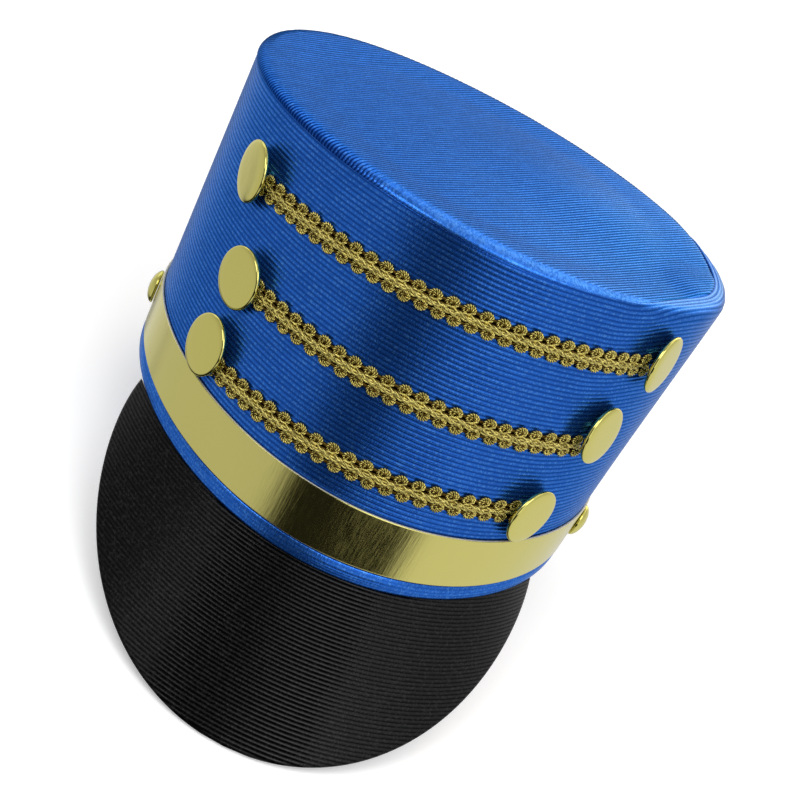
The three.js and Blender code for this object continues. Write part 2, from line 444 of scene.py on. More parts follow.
@dataclass(frozen=True)
class PolishedGold(Finish):
    """Plated metal, bright with faint swirls from polishing."""

    name: str = "polished gold"
    colour: Colour = (0.76, 0.7, 0.2)
    roughness: float = 0.1
    swirl_scale: float = 900
    waver_scale: float = 140

    def sketch(self, nodes: NodeSketch) -> bpy.types.Node:
        """Draws the plating: a soft unevenness and tiny scratches.

        Args:
            nodes: The material's tree.

        Returns:
            The shader.
        """
        place = nodes.add("ShaderNodeTexCoord").outputs["Object"]
        swirls = nodes.noise(place, self.swirl_scale, 4, 0.6)
        waver = nodes.noise(place, self.waver_scale, 1)
        rough = nodes.remap(swirls, 0.35, 0.75, self.roughness - 0.02, self.roughness + 0.07)
        normal = nodes.bump(swirls, 0.00001, 0.2, nodes.bump(waver, 0.0003, 0.3))
        return nodes.add("ShaderNodeBsdfPrincipled", base_color=opaque(self.colour), metallic=1.0,
                         roughness=rough, normal=normal)


@dataclass(frozen=True)
class GoldCord(Finish):
    """Metal thread wound on a yarn, with a painted highlight on the cord's top and painted brown shade
    between its plies and below them.
    """

    name: str = "gold cord"
    colour: Colour = (1.0, 0.86, 0.26)
    shade: Colour = (0.1, 0.058, 0.008)
    metallic: float = 0.95
    roughness: float = 0.17
    tone_scale: float = 700

    def sketch(self, nodes: NodeSketch) -> bpy.types.Node:
        """Draws the thread: fine wraps along the cord's UV map over the painted light and shade of its plies.

        Args:
            nodes: The material's tree.

        Returns:
            The shader.
        """
        cord = nodes.add("ShaderNodeUVMap", {"uv_map": "cloth"}).outputs["UV"]
        height = nodes.add("ShaderNodeAttribute", {"attribute_name": "ply_height"}).outputs["Fac"]
        place = nodes.add("ShaderNodeTexCoord").outputs["Object"]
        wraps = nodes.add("ShaderNodeTexWave", {"bands_direction": "X"}, vector=cord, scale=1.0,
                          distortion=1.5, detail=1.0).outputs["Fac"]
        tone = nodes.noise(place, self.tone_scale, 2)
        # Painted light and shade: the colour runs from the shade colour low in the cord to the bright colour
        # on its top
        share = nodes.math("MULTIPLY", nodes.remap(height, -0.2, 0.8, 0, 1),
                           nodes.remap(tone, 0.3, 0.65, 0.5, 1))
        colour = nodes.mix(share, opaque(self.shade), opaque(self.colour))
        return nodes.add("ShaderNodeBsdfPrincipled", base_color=colour, metallic=self.metallic,
                         roughness=self.roughness, normal=nodes.bump(wraps, 0.00006, 0.4))


@dataclass(frozen=True)
class PaleFloor(Finish):
    """Plain pale studio floor."""

    name: str = "pale floor"
    colour: Colour = (0.9, 0.9, 0.9)
    mottle_scale: float = 6
    mottle_shade: float = 0.985
    glow: float = 0.36

    def sketch(self, nodes: NodeSketch) -> bpy.types.Node:
        """Draws the floor with a faint mottle, lit from below as a light table is.

        Args:
            nodes: The material's tree.

        Returns:
            The shader.
        """
        place = nodes.add("ShaderNodeTexCoord").outputs["Object"]
        mottle = nodes.noise(place, self.mottle_scale, 2)
        shade = opaque([self.mottle_shade * part for part in self.colour])
        colour = nodes.mix(mottle, shade, opaque(self.colour))
        return nodes.add("ShaderNodeBsdfPrincipled", base_color=colour, roughness=0.9, specular_ior_level=0.1,
                         emission_color=(1, 1, 1, 1), emission_strength=self.glow)


# Each satin's groove colour is a painted shade, darker than its rib tops
BLUE_SATIN = RibbedSatin(
    "blue ribbed satin", top_colour=(0.031, 0.188, 0.79), groove_shade_colour=(0.012, 0.078, 0.4),
    glint_colour=(0.16, 0.46, 1.0), edge_tint=(0.49, 0.71, 1.0), metallic=0.8, roughness=0.22, specular=0.33,
    sparkle=0.35, groove_to=0.2, shine_from=0.4)
# The same satin on the top panel as a shaded copy: its grooves are painted in deeper shade over a wider
# share, and its rib tops lighter
TOP_SATIN = replace(
    BLUE_SATIN, name="blue ribbed satin of the top", top_colour=(0.042, 0.235, 0.95),
    groove_shade_colour=(0.002, 0.02, 0.165), edge_tint=(0.35, 0.6, 1.0), specular=0.28, groove_to=0.45)
BLACK_SATIN = RibbedSatin(
    "black ribbed satin", top_colour=(0.0035, 0.0035, 0.0038), groove_shade_colour=(0.001, 0.001, 0.001),
    glint_colour=(0.02, 0.02, 0.021), edge_tint=(1.0, 1.0, 1.0), metallic=0.0, roughness=0.22, specular=0.46,
    sparkle=0.7, groove_to=0.2, shine_from=0.66)


class Workbench:
    """Turns shaped meshes into finished pieces of the hat."""

    @staticmethod
    def mesh_of(name: str, shape: bmesh.types.BMesh) -> bpy.types.Mesh:
        """Makes a mesh from a bmesh and frees it.

        Args:
            name: The mesh's name.
            shape: The bmesh, which can't be used afterwards.

        Returns:
            The mesh.
        """
        mesh = bpy.data.meshes.new(name)
        shape.to_mesh(mesh)
        shape.free()
        return mesh

    @staticmethod
    def places(mesh: bpy.types.Mesh) -> np.ndarray:
        """Reads where a mesh's vertices are.

        Args:
            mesh: The mesh.

        Returns:
            The places, one row each.
        """
        flat = np.empty(len(mesh.vertices) * 3)
        mesh.vertices.foreach_get("co", flat)
        return flat.reshape(-1, 3)

    @staticmethod
    def put(mesh: bpy.types.Mesh, places: np.ndarray) -> None:
        """Moves a mesh's vertices to new places."""
        mesh.vertices.foreach_set("co", places.astype(np.float32).ravel())
        mesh.update()

    @staticmethod
    def mark(mesh: bpy.types.Mesh, name: str, values: np.ndarray) -> None:
        """Keeps a value for each vertex as an attribute."""
        attribute = mesh.attributes.new(name, "FLOAT", "POINT")
        attribute.data.foreach_set("value", values.astype(np.float32))

    @staticmethod
    def lay_out(mesh: bpy.types.Mesh, along: np.ndarray, across: np.ndarray, period: float = 0) -> None:
        """Lays the cloth's UV map.

        Args:
            mesh: The mesh to lay out.
            along: Each vertex's distance along the cloth, in metres.
            across: Each vertex's distance across it, in metres.
            period: The length of a closed band, whose faces at the join run on past its end.
        """
        corner = np.empty(len(mesh.loops), np.int32)
        mesh.loops.foreach_get("vertex_index", corner)
        u = along[corner]
        if period:
            total = np.empty(len(mesh.polygons), np.int32)
            mesh.polygons.foreach_get("loop_total", total)
            start = np.empty(len(mesh.polygons), np.int32)
            mesh.polygons.foreach_get("loop_start", start)
            first = np.repeat(u[start], total)
            u = u + period * np.round((first - u) / period)
        layer = mesh.uv_layers.new(name="cloth")
        layer.data.foreach_set("uv", np.stack([u, across[corner]], axis=-1).astype(np.float32).ravel())

    @staticmethod
    def dress(name: str, node: str, slot: Slot, mesh: bpy.types.Mesh,
              finishes: Sequence[Finish]) -> bpy.types.Object:
        """Makes the piece that stands for a solid of the frame.

        Args:
            name: The piece's name.
            node: The solid that it stands for.
            slot: The record's slot that it would take its finish from; not used.
            mesh: Its finished mesh, in the frame.
            finishes: Its finishes, in the order of the mesh's material numbers.

        Returns:
            The new piece, which rides on the hat.
        """
        for finish in finishes:
            mesh.materials.append(finish.material())
        mesh.polygons.foreach_set("use_smooth", np.ones(len(mesh.polygons), bool))
        mesh.update()
        piece = bpy.data.objects.new(name, mesh)
        bpy.context.scene.collection.objects.link(piece)
        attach(piece, BODY)
        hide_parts(node)
        log.info("%s: %d faces", name, len(mesh.polygons))
        return piece


def chain(shape: bmesh.types.BMesh, places: Sequence[Vector], closed: bool) -> list:
    """Strings vertices on edges in a bmesh.

    Args:
        shape: The bmesh to add them to.
        places: Where the vertices go, in order.
        closed: Whether an edge joins the last to the first.

    Returns:
        The new vertices and edges.
    """
    knots = [shape.verts.new(place) for place in places]
    pairs = list(zip(knots, knots[1:] + (knots[:1] if closed else [])))
    return knots + [shape.edges.new(pair) for pair in pairs if pair[0] is not pair[1]]


def spun(profile: Sequence[tuple[float, float]], steps: int, closed: bool) -> bmesh.types.BMesh:
    """Spins a profile of (radius, height) pairs a full turn round the Z axis, from the front.

    Args:
        profile: The section, from its lower end.
        steps: The number of faces round.
        closed: Whether the section closes on itself, as a tube's does. Another section ends on the axis.

    Returns:
        The spun shape with its faces outwards.
    """
    shape = bmesh.new()
    section = chain(shape, [Vector((0, -radius, height)) for radius, height in profile], closed)
    bmesh.ops.spin(shape, geom=section, cent=(0, 0, 0), axis=(0, 0, 1), angle=2 * math.pi, steps=steps,
                   use_merge=True)
    bmesh.ops.remove_doubles(shape, verts=shape.verts[:], dist=MERGE)
    bmesh.ops.recalc_face_normals(shape, faces=shape.faces[:])
    return shape


@dataclass(frozen=True)
class RimFold:
    """Where the side's cloth is drawn up over the crown's rim, so that the seam lies in on the top.

    The turns, in degrees, and the insets give the seam's course on the top, whose corners are eased over a
    few steps. The seam climbs the ridge and comes down again between two pairs of turns.
    """

    turns: tuple[float, ...] = (30, 38, 47, 56, 64, 71, 77, 86, 96, 104, 116, 128)
    insets: tuple[float, ...] = (0, 2, 7, 9, 8.7, 7, 6, 5.6, 5.6, 5, 2.5, 0)
    easing: tuple[float, ...] = (-4, -2, 0, 2, 4)
    climb: Pair = (math.radians(2), math.radians(36))
    descent: Pair = (math.radians(112), math.radians(132))
    round: float = 4.6
    tip: float = math.radians(88)
    tip_half: float = math.radians(45)
    bulge: float = 1.3
    start_level: float = 34.0

    def inset(self, turn: np.ndarray) -> np.ndarray:
        """How far in from the rim the seam lies at some turns."""
        eased = [np.interp(np.degrees(turn) + step, self.turns, self.insets) for step in self.easing]
        return np.mean(eased, axis=0)

    def lift(self, turn: np.ndarray) -> np.ndarray:
        """How far the seam has climbed the ridge at some turns, from 0 to 1."""
        return smooth_step(*self.climb, turn) * (1 - smooth_step(*self.descent, turn))

    def swell(self, turn: np.ndarray) -> np.ndarray:
        """How far the folded cloth swells out at the rim."""
        return self.bulge * smooth_step(self.tip_half, 0, np.abs(turn - self.tip))


@dataclass
class CrownSide:
    """The oval wall of blue ribbed satin, with its rolled hem and its fold over the rim."""

    form: HatForm
    ribs: Ribs = field(default_factory=Ribs)
    fold: RimFold = field(default_factory=RimFold)
    hem_height: float = 5.4
    hem_roll: float = 1.0
    hem_start: float = 0.12
    hem_calm: float = 0.55
    ridge_height: float = 2.3
    edge_round: float = 1.1
    steps: int = 240

    @property
    def top(self) -> float:
        """The level where the wall meets the crown's top."""
        return self.form.height - self.ridge_height - self.form.gap

    def section(self) -> list[tuple[float, float]]:
        """The wall's closed section as it is cut.

        Returns:
            Pairs of radius and level, in rows along the ribs outside and plain inside.
        """
        outside = self.form.round_radius
        inside = outside - self.form.wall
        rows = self.ribs.rows(0, self.hem_height)[:-1] + self.ribs.rows(self.hem_height, self.top)
        back = [(inside, level) for level in (self.top, self.top / 2, 0.0)]
        return [(outside, level) for level in rows] + back

    def rise(self, level: np.ndarray) -> np.ndarray:
        """The ribs' rise on the hem and the wall.

        Args:
            level: Some levels as the cloth is cut.

        Returns:
            The rise there, from 0 to 1.
        """
        hem = self.hem_calm + (1 - self.hem_calm) * self.ribs.rise(level, 0, self.hem_height)
        wall = self.ribs.rise(level, self.hem_height, self.top)
        return np.where(level < self.hem_height, hem, wall)

    def hem_out(self, level: np.ndarray) -> np.ndarray:
        """How far the rolled hem stands out of the wall at some levels."""
        share = np.clip(self.hem_start + (1 - self.hem_start) * level / self.hem_height, 0, 1)
        return self.hem_roll * np.sqrt(np.clip(np.sin(math.pi * share), 0, None))

    def rolled(self, turn: np.ndarray, level: np.ndarray) -> tuple[np.ndarray, ...]:
        """Rounds the wall's upper edge inwards, and lays it over the rim where it folds.

        Args:
            turn: The turns of some points of the cloth.
            level: Their levels as the cloth is cut.

        Returns:
            How far in they lie, their levels, and how far their normals are swung upwards.
        """
        swell = self.fold.swell(turn)
        end = np.maximum(self.edge_round, self.fold.inset(turn)) + swell
        round_radius = np.minimum(end, self.fold.round)
        top = self.top + (self.ridge_height + self.form.gap) * self.fold.lift(turn)
        start = self.fold.start_level
        straight = top - round_radius - start
        bent = round_radius * math.pi / 2
        run = (level - start) / (self.top - start) * (straight + bent + end - round_radius)
        swing = np.clip((run - straight) / round_radius, 0, math.pi / 2)
        over = np.clip(run - straight - bent, 0, None)
        lifted = start + np.minimum(run, straight) + round_radius * np.sin(swing)
        inset = round_radius * (1 - np.cos(swing)) + over - swell * smooth_step(start, self.top, level)
        return inset, np.where(level < start, level, lifted), swing

    def build(self) -> bpy.types.Object:
        """Spins the wall, ribs and folds it, presses it to its oval and dresses it.

        Returns:
            The dressed piece.
        """
        mesh = Workbench.mesh_of("crown_side", spun(self.section(), self.steps, closed=True))
        x, y, cut = Workbench.places(mesh).T
        turn, radius = np.arctan2(x, -y), np.hypot(x, y)
        outer = radius > self.form.round_radius - self.form.wall / 2
        rise = self.rise(cut)
        inset, level, swing = self.rolled(turn, cut)
        out = self.hem_out(cut) - inset + rise * self.ribs.depth * np.cos(swing)
        up = level - cut + rise * self.ribs.depth * np.sin(swing)
        Workbench.mark(mesh, "rib_rise_and_painted_light", np.where(outer, rise, PLAIN_RISE))
        girth = self.form.round_radius * METRES
        Workbench.lay_out(mesh, turn * girth, cut * METRES, 2 * math.pi * girth)
        places = self.form.place(turn, radius + np.where(outer, out, 0), cut + np.where(outer, up, 0))
        Workbench.put(mesh, self.form.rest(places))
        return Workbench.dress("crown_side_satin", "crown_side", Slot.BLUE_SATIN, mesh, [BLUE_SATIN])


@dataclass
class CrownTop:
    """The top panel: straight ribs over a shallow dish, rolled down over a padded ridge to the seam.

    Shares are distances from the panel's middle, by its cut radius. The tip is the panel's right end.
    """

    form: HatForm
    ribs: Ribs = field(default_factory=lambda: Ribs(pitch=1.47, depth=0.16))
    fold: RimFold = field(default_factory=RimFold)
    rib_direction: float = math.radians(59.5)
    roll_width: float = 5.0
    back_width: float = 2.4
    back_turns: Pair = (math.radians(70), math.radians(105))
    roll_height: float = 2.5
    roll_pressed: float = 0.85
    lip_width: float = 1.2
    lip_height: float = 0.5
    roll_start: float = math.radians(-70)
    roll_reach: float = 7.0
    dish_level: float = 113.8
    dish_edge: float = 26.0
    spread_from: float = 0.6
    edge_level: float = 112.7
    underside: float = 110.6
    fold_sink: float = 0.1
    tuck: float = 0.8
    tuck_eased: Pair = (-0.8, 0.6)
    tuck_slope: float = 0.6
    tuck_in: float = 2.0
    tuck_from: float = 0.9
    held_eased: Pair = (-1.5, -0.3)
    held_inset: float = 0.25
    waves: float = 0.1
    wave_courses: tuple[tuple[float, float, float], ...] = ((2.4, 1.7, 0.6), (-2.2, 3.1, 0.0))
    wave_edge: float = 0.3
    puff: float = 1.6
    puff_place: Pair = (0.36, 0.24)
    puff_reach: float = 0.6
    tip_turn: float = math.radians(78)
    tip_rise: float = 0.8
    tip_reach: Pair = (0.32, 0.14)
    tip_edge: float = 0.08
    # Painted shade and highlight by the tip: deeper groove shade and paler rib tops
    tip_groove_shade: float = 2.0
    tip_highlight: float = 0.45
    tip_sheen: Pair = (0.85, 0.3)
    middle_calm: float = 0.25
    calm_reach: Pair = (0.45, 1.1)
    painted_roll_highlight: float = 0.6
    # The painted highlight's strength on the roll's front, and where that smooth front lies
    smooth_roll_reach: Pair = (9.8, 4.9)
    smooth_roll_left: Pair = (-0.7, -0.1)
    smooth_roll_right: Pair = (math.radians(56), math.radians(44))
    # Painted shade in the creases along the roll's edge and front
    edge_crease_shade: float = 0.85
    edge_creased: Pair = (0.916, 0.93)
    crease_turns: Pair = (math.radians(80), math.radians(110))
    front_crease_shade: float = 0.3
    front_creased: Pair = (0.942, 0.965)
    columns: int = 96

    def section(self, turn: np.ndarray, share: np.ndarray) -> tuple[np.ndarray, ...]:
        """The panel's section from its middle, at share 0, over the soft roll to its edge, at share 1.

        Args:
            turn: The turns of some points of the panel.
            share: Their shares.

        Returns:
            Radii, levels, and the section normals' two parts.
        """
        fold, inset = self.fold.lift(turn), self.fold.inset(turn)
        outside = self.form.round_radius + self.form.gap
        top = self.form.height - self.fold_sink * fold
        inward = (1 - share) * self.form.round_radius
        swing = self.roll_start + (math.pi / 2 - self.roll_start) * np.clip(inward / self.roll_reach, 0, 1)
        narrowed = (self.roll_width - self.back_width) * smooth_step(*self.back_turns, np.abs(turn))
        roll_height = self.roll_height * (1 - self.roll_pressed * fold)
        width = np.where(swing < 0, self.lip_width, self.roll_width - narrowed)
        height = np.where(swing < 0, self.lip_height, roll_height)
        roll_radius = outside - width * (1 - np.cos(swing))
        roll_level = top - roll_height + height * np.sin(swing)
        crest, crest_share = outside - self.roll_width, 1 - self.roll_reach / self.form.round_radius
        radius = crest * share / crest_share + narrowed * smooth_step(self.spread_from, crest_share, share)
        from_crest = radius - (crest + narrowed)
        level = self.dish_level + (top - self.dish_level) * smooth_step(-self.dish_edge, 0, from_crest)
        on_roll = inward < self.roll_reach
        drawn_in = np.minimum(inset, self.tuck_in) * smooth_step(self.tuck_from, 1, share)
        radius = np.where(on_roll, roll_radius, radius) - drawn_in
        beyond = radius - (outside - inset)
        under = self.tuck * np.minimum(inset, 1) * smooth_step(*self.tuck_eased, beyond)
        under = under + self.tuck_slope * np.clip(beyond, 0, None)
        level = np.where(on_roll, roll_level, level) - under
        return radius, level, np.where(on_roll, np.cos(swing), 0), np.where(on_roll, np.sin(swing), 1)

    def to_tip(self, turn: np.ndarray, share: np.ndarray) -> np.ndarray:
        """How far some points of the panel lie from its right tip, as shares."""
        return np.hypot(share * np.sin(turn) - math.sin(self.tip_turn),
                        share * np.cos(turn) - math.cos(self.tip_turn))

    def smooth_roll_highlight(self, turn: np.ndarray, share: np.ndarray) -> np.ndarray:
        """Where the cloth lies smooth over the front of the roll, which also carries a painted highlight.

        Args:
            turn: The turns of some points of the panel.
            share: Their shares.

        Returns:
            1 on the roll's front, eased to 0 on the dish and towards the sides.
        """
        roll = smooth_step(*self.smooth_roll_reach, (1 - share) * self.form.round_radius)
        return roll * smooth_step(*self.smooth_roll_right, turn) * smooth_step(*self.smooth_roll_left, turn)

    def calm(self, turn: np.ndarray, share: np.ndarray) -> np.ndarray:
        """How far the ribs are drawn flat.

        Args:
            turn: The turns of some points of the panel.
            share: Their shares.

        Returns:
            1 where the cloth lies smooth over the roll's front, less on the middle, and 0 by the right tip.
        """
        middle = self.middle_calm * smooth_step(*self.calm_reach, self.to_tip(turn, share))
        return np.maximum(self.smooth_roll_highlight(turn, share), middle)

    def raised(self, turn: np.ndarray, share: np.ndarray) -> np.ndarray:
        """How far the soft panel lies above its plain dish.

        Args:
            turn: The turns of some points of the panel.
            share: Their shares.

        Returns:
            The height of the swelling at the tip, the puff towards the back and the slow waves together.
        """
        x, y = share * np.sin(turn), -share * np.cos(turn)
        tip = smooth_step(*self.tip_reach, self.to_tip(turn, share))
        tip = tip * smooth_step(0, self.tip_edge, 1 - share)
        to_puff = np.hypot(x - self.puff_place[0], y - self.puff_place[1])
        waves = smooth_step(0, self.wave_edge, 1 - share)
        for across, back, start in self.wave_courses:
            waves = waves * np.sin(across * x + back * y + start)
        return self.tip_rise * tip + self.puff * smooth_step(self.puff_reach, 0, to_puff) + self.waves * waves

    def shown(self, turn: np.ndarray, share: np.ndarray, rise: np.ndarray) -> np.ndarray:
        """The rise by which the cloth is coloured.

        Args:
            turn: The turns of some points of the panel.
            share: Their shares.
            rise: The ribs' rise there.

        Returns:
            The rise with deeper painted groove shade and paler painted highlights on the tops by the tip,
            past 1 for the painted highlight on the smooth roll's front, and lowered for painted shade in the
            creases along the roll.
        """
        at_tip = smooth_step(*self.tip_sheen, self.to_tip(turn, share))
        # Painted highlight and shade by the tip: deeper groove shade and paler rib tops
        tip_shaded_rise = rise ** (1 + self.tip_groove_shade * at_tip) * (1 + self.tip_highlight * at_tip)
        # Painted shade in the creases along the roll
        edge = smooth_step(*self.edge_creased, share) * smooth_step(*self.crease_turns, np.abs(turn))
        front = smooth_step(*self.front_creased, share)
        crease_shade = np.maximum(self.edge_crease_shade * edge, self.front_crease_shade * front)
        return (tip_shaded_rise + self.painted_roll_highlight * self.smooth_roll_highlight(turn, share)) * (1 - crease_shade)

    def flat_shape(self) -> bmesh.types.BMesh:
        """The panel as a flat round cut in rows along its ribs, with its edge turned under and closed below.

        Returns:
            The shape at radius 1. Its Z is 0 on the upper face, -1 at the turned edge and -2 below.
        """
        full = self.form.round_radius
        levels = np.array(self.ribs.rows(-full, full)) / full
        rows = len(levels) - 1
        shape = bmesh.new()
        bmesh.ops.create_grid(shape, x_segments=self.columns, y_segments=rows, size=1)
        for vertex in shape.verts:
            row = levels[round((vertex.co.y + 1) / 2 * rows)]
            half = math.sqrt(max(1 - row * row, 0))
            vertex.co = Vector((half * math.sin(vertex.co.x * math.pi / 2), row, 0))
        bmesh.ops.remove_doubles(shape, verts=shape.verts[:], dist=MERGE)
        for depth in (-1, -2):
            rim = [edge for edge in shape.edges if edge.is_boundary]
            turned = bmesh.ops.extrude_edge_only(shape, edges=rim)["geom"]
            for vertex in (part for part in turned if isinstance(part, bmesh.types.BMVert)):
                vertex.co.z = depth
        rim = [edge for edge in shape.edges if edge.is_boundary]
        floor = bmesh.ops.contextual_create(shape, geom=rim)["faces"]
        bmesh.ops.poke(shape, faces=floor)
        bmesh.ops.recalc_face_normals(shape, faces=shape.faces[:])
        return shape

    def build(self) -> bpy.types.Object:
        """Cuts the panel flat, lays it over the dish and ridge and dresses it.

        Returns:
            The dressed piece.
        """
        mesh = Workbench.mesh_of("crown_top", self.flat_shape())
        along, across, depth = Workbench.places(mesh).T
        x = along * math.cos(self.rib_direction) - across * math.sin(self.rib_direction)
        y = along * math.sin(self.rib_direction) + across * math.cos(self.rib_direction)
        turn, share = np.arctan2(x, -y), np.hypot(x, y)
        turned_under, below = depth < -0.5, depth < -1.5
        full = self.form.round_radius
        radius, level, out, up = self.section(turn, share)
        rise = self.ribs.rise(across * full, -full, full)
        rise = rise + (1 - rise) * self.calm(turn, share)
        inset = self.fold.inset(turn)
        beyond = radius - (full + self.form.gap - inset)
        held = smooth_step(*self.held_eased, beyond) * smooth_step(0, self.held_inset, inset)
        relief = rise * self.ribs.depth * (1 - held)
        inside = (full - self.form.wall - self.form.gap - inset) * np.minimum(share, 1)
        radius = np.where(turned_under, inside, radius + out * relief)
        hidden = np.where(below, self.underside, self.edge_level)
        level = np.where(turned_under, hidden, level + up * relief + self.raised(turn, share))
        shown = self.shown(turn, share, rise)
        Workbench.mark(mesh, "rib_rise_and_painted_light", np.where(turned_under, PLAIN_RISE, shown))
        Workbench.lay_out(mesh, along * full * METRES, across * full * METRES)
        Workbench.put(mesh, self.form.rest(self.form.place(turn, radius, level)))
        return Workbench.dress("crown_top_satin", "crown_top", Slot.BLUE_SATIN, mesh, [TOP_SATIN])


@dataclass
class GoldBand:
    """The gold foil strip round the wall above the hem."""

    form: HatForm
    bottom: float = 5.6
    top: float = 23.6
    thickness: float = 1.0
    edge: float = 0.12
    rows: int = 8
    steps: int = 240

    def section(self) -> list[tuple[float, float]]:
        """The strip's closed section, with its outer corners eased and a thin row beside each of them.

        Returns:
            Pairs of radius and level.
        """
        inside = self.form.round_radius + self.form.gap
        outside = inside + self.thickness
        low, high = self.bottom + self.edge, self.top - self.edge
        inner = [low + (high - low) * row / self.rows for row in range(1, self.rows)]
        levels = [low, low + 2 * self.edge] + inner + [high - 2 * self.edge, high]
        face = [(outside, level) for level in levels]
        return ([(inside, self.bottom), (outside - self.edge, self.bottom)] + face
                + [(outside - self.edge, self.top), (inside, self.top)])

    def build(self) -> bpy.types.Object:
        """Spins the strip, presses it to the crown and dresses its face and cut edges.

        Returns:
            The dressed piece.
        """
        mesh = Workbench.mesh_of("gold_band", spun(self.section(), self.steps, closed=True))
        x, y, level = Workbench.places(mesh).T
        turn, radius = np.arctan2(x, -y), np.hypot(x, y)
        girth = self.form.round_radius * METRES
        Workbench.lay_out(mesh, turn * girth, level * METRES, 2 * math.pi * girth)
        for face in mesh.polygons:
            heights = [level[corner] for corner in face.vertices]
            at_edge = max(heights) <= self.bottom + self.edge or min(heights) >= self.top - self.edge
            face.material_index = int(at_edge)
        Workbench.put(mesh, self.form.rest(self.form.place(turn, radius, level)))
        return Workbench.dress("gold_band_foil", "gold_band", Slot.FOIL, mesh, [GoldFoil(), CutEdge()])


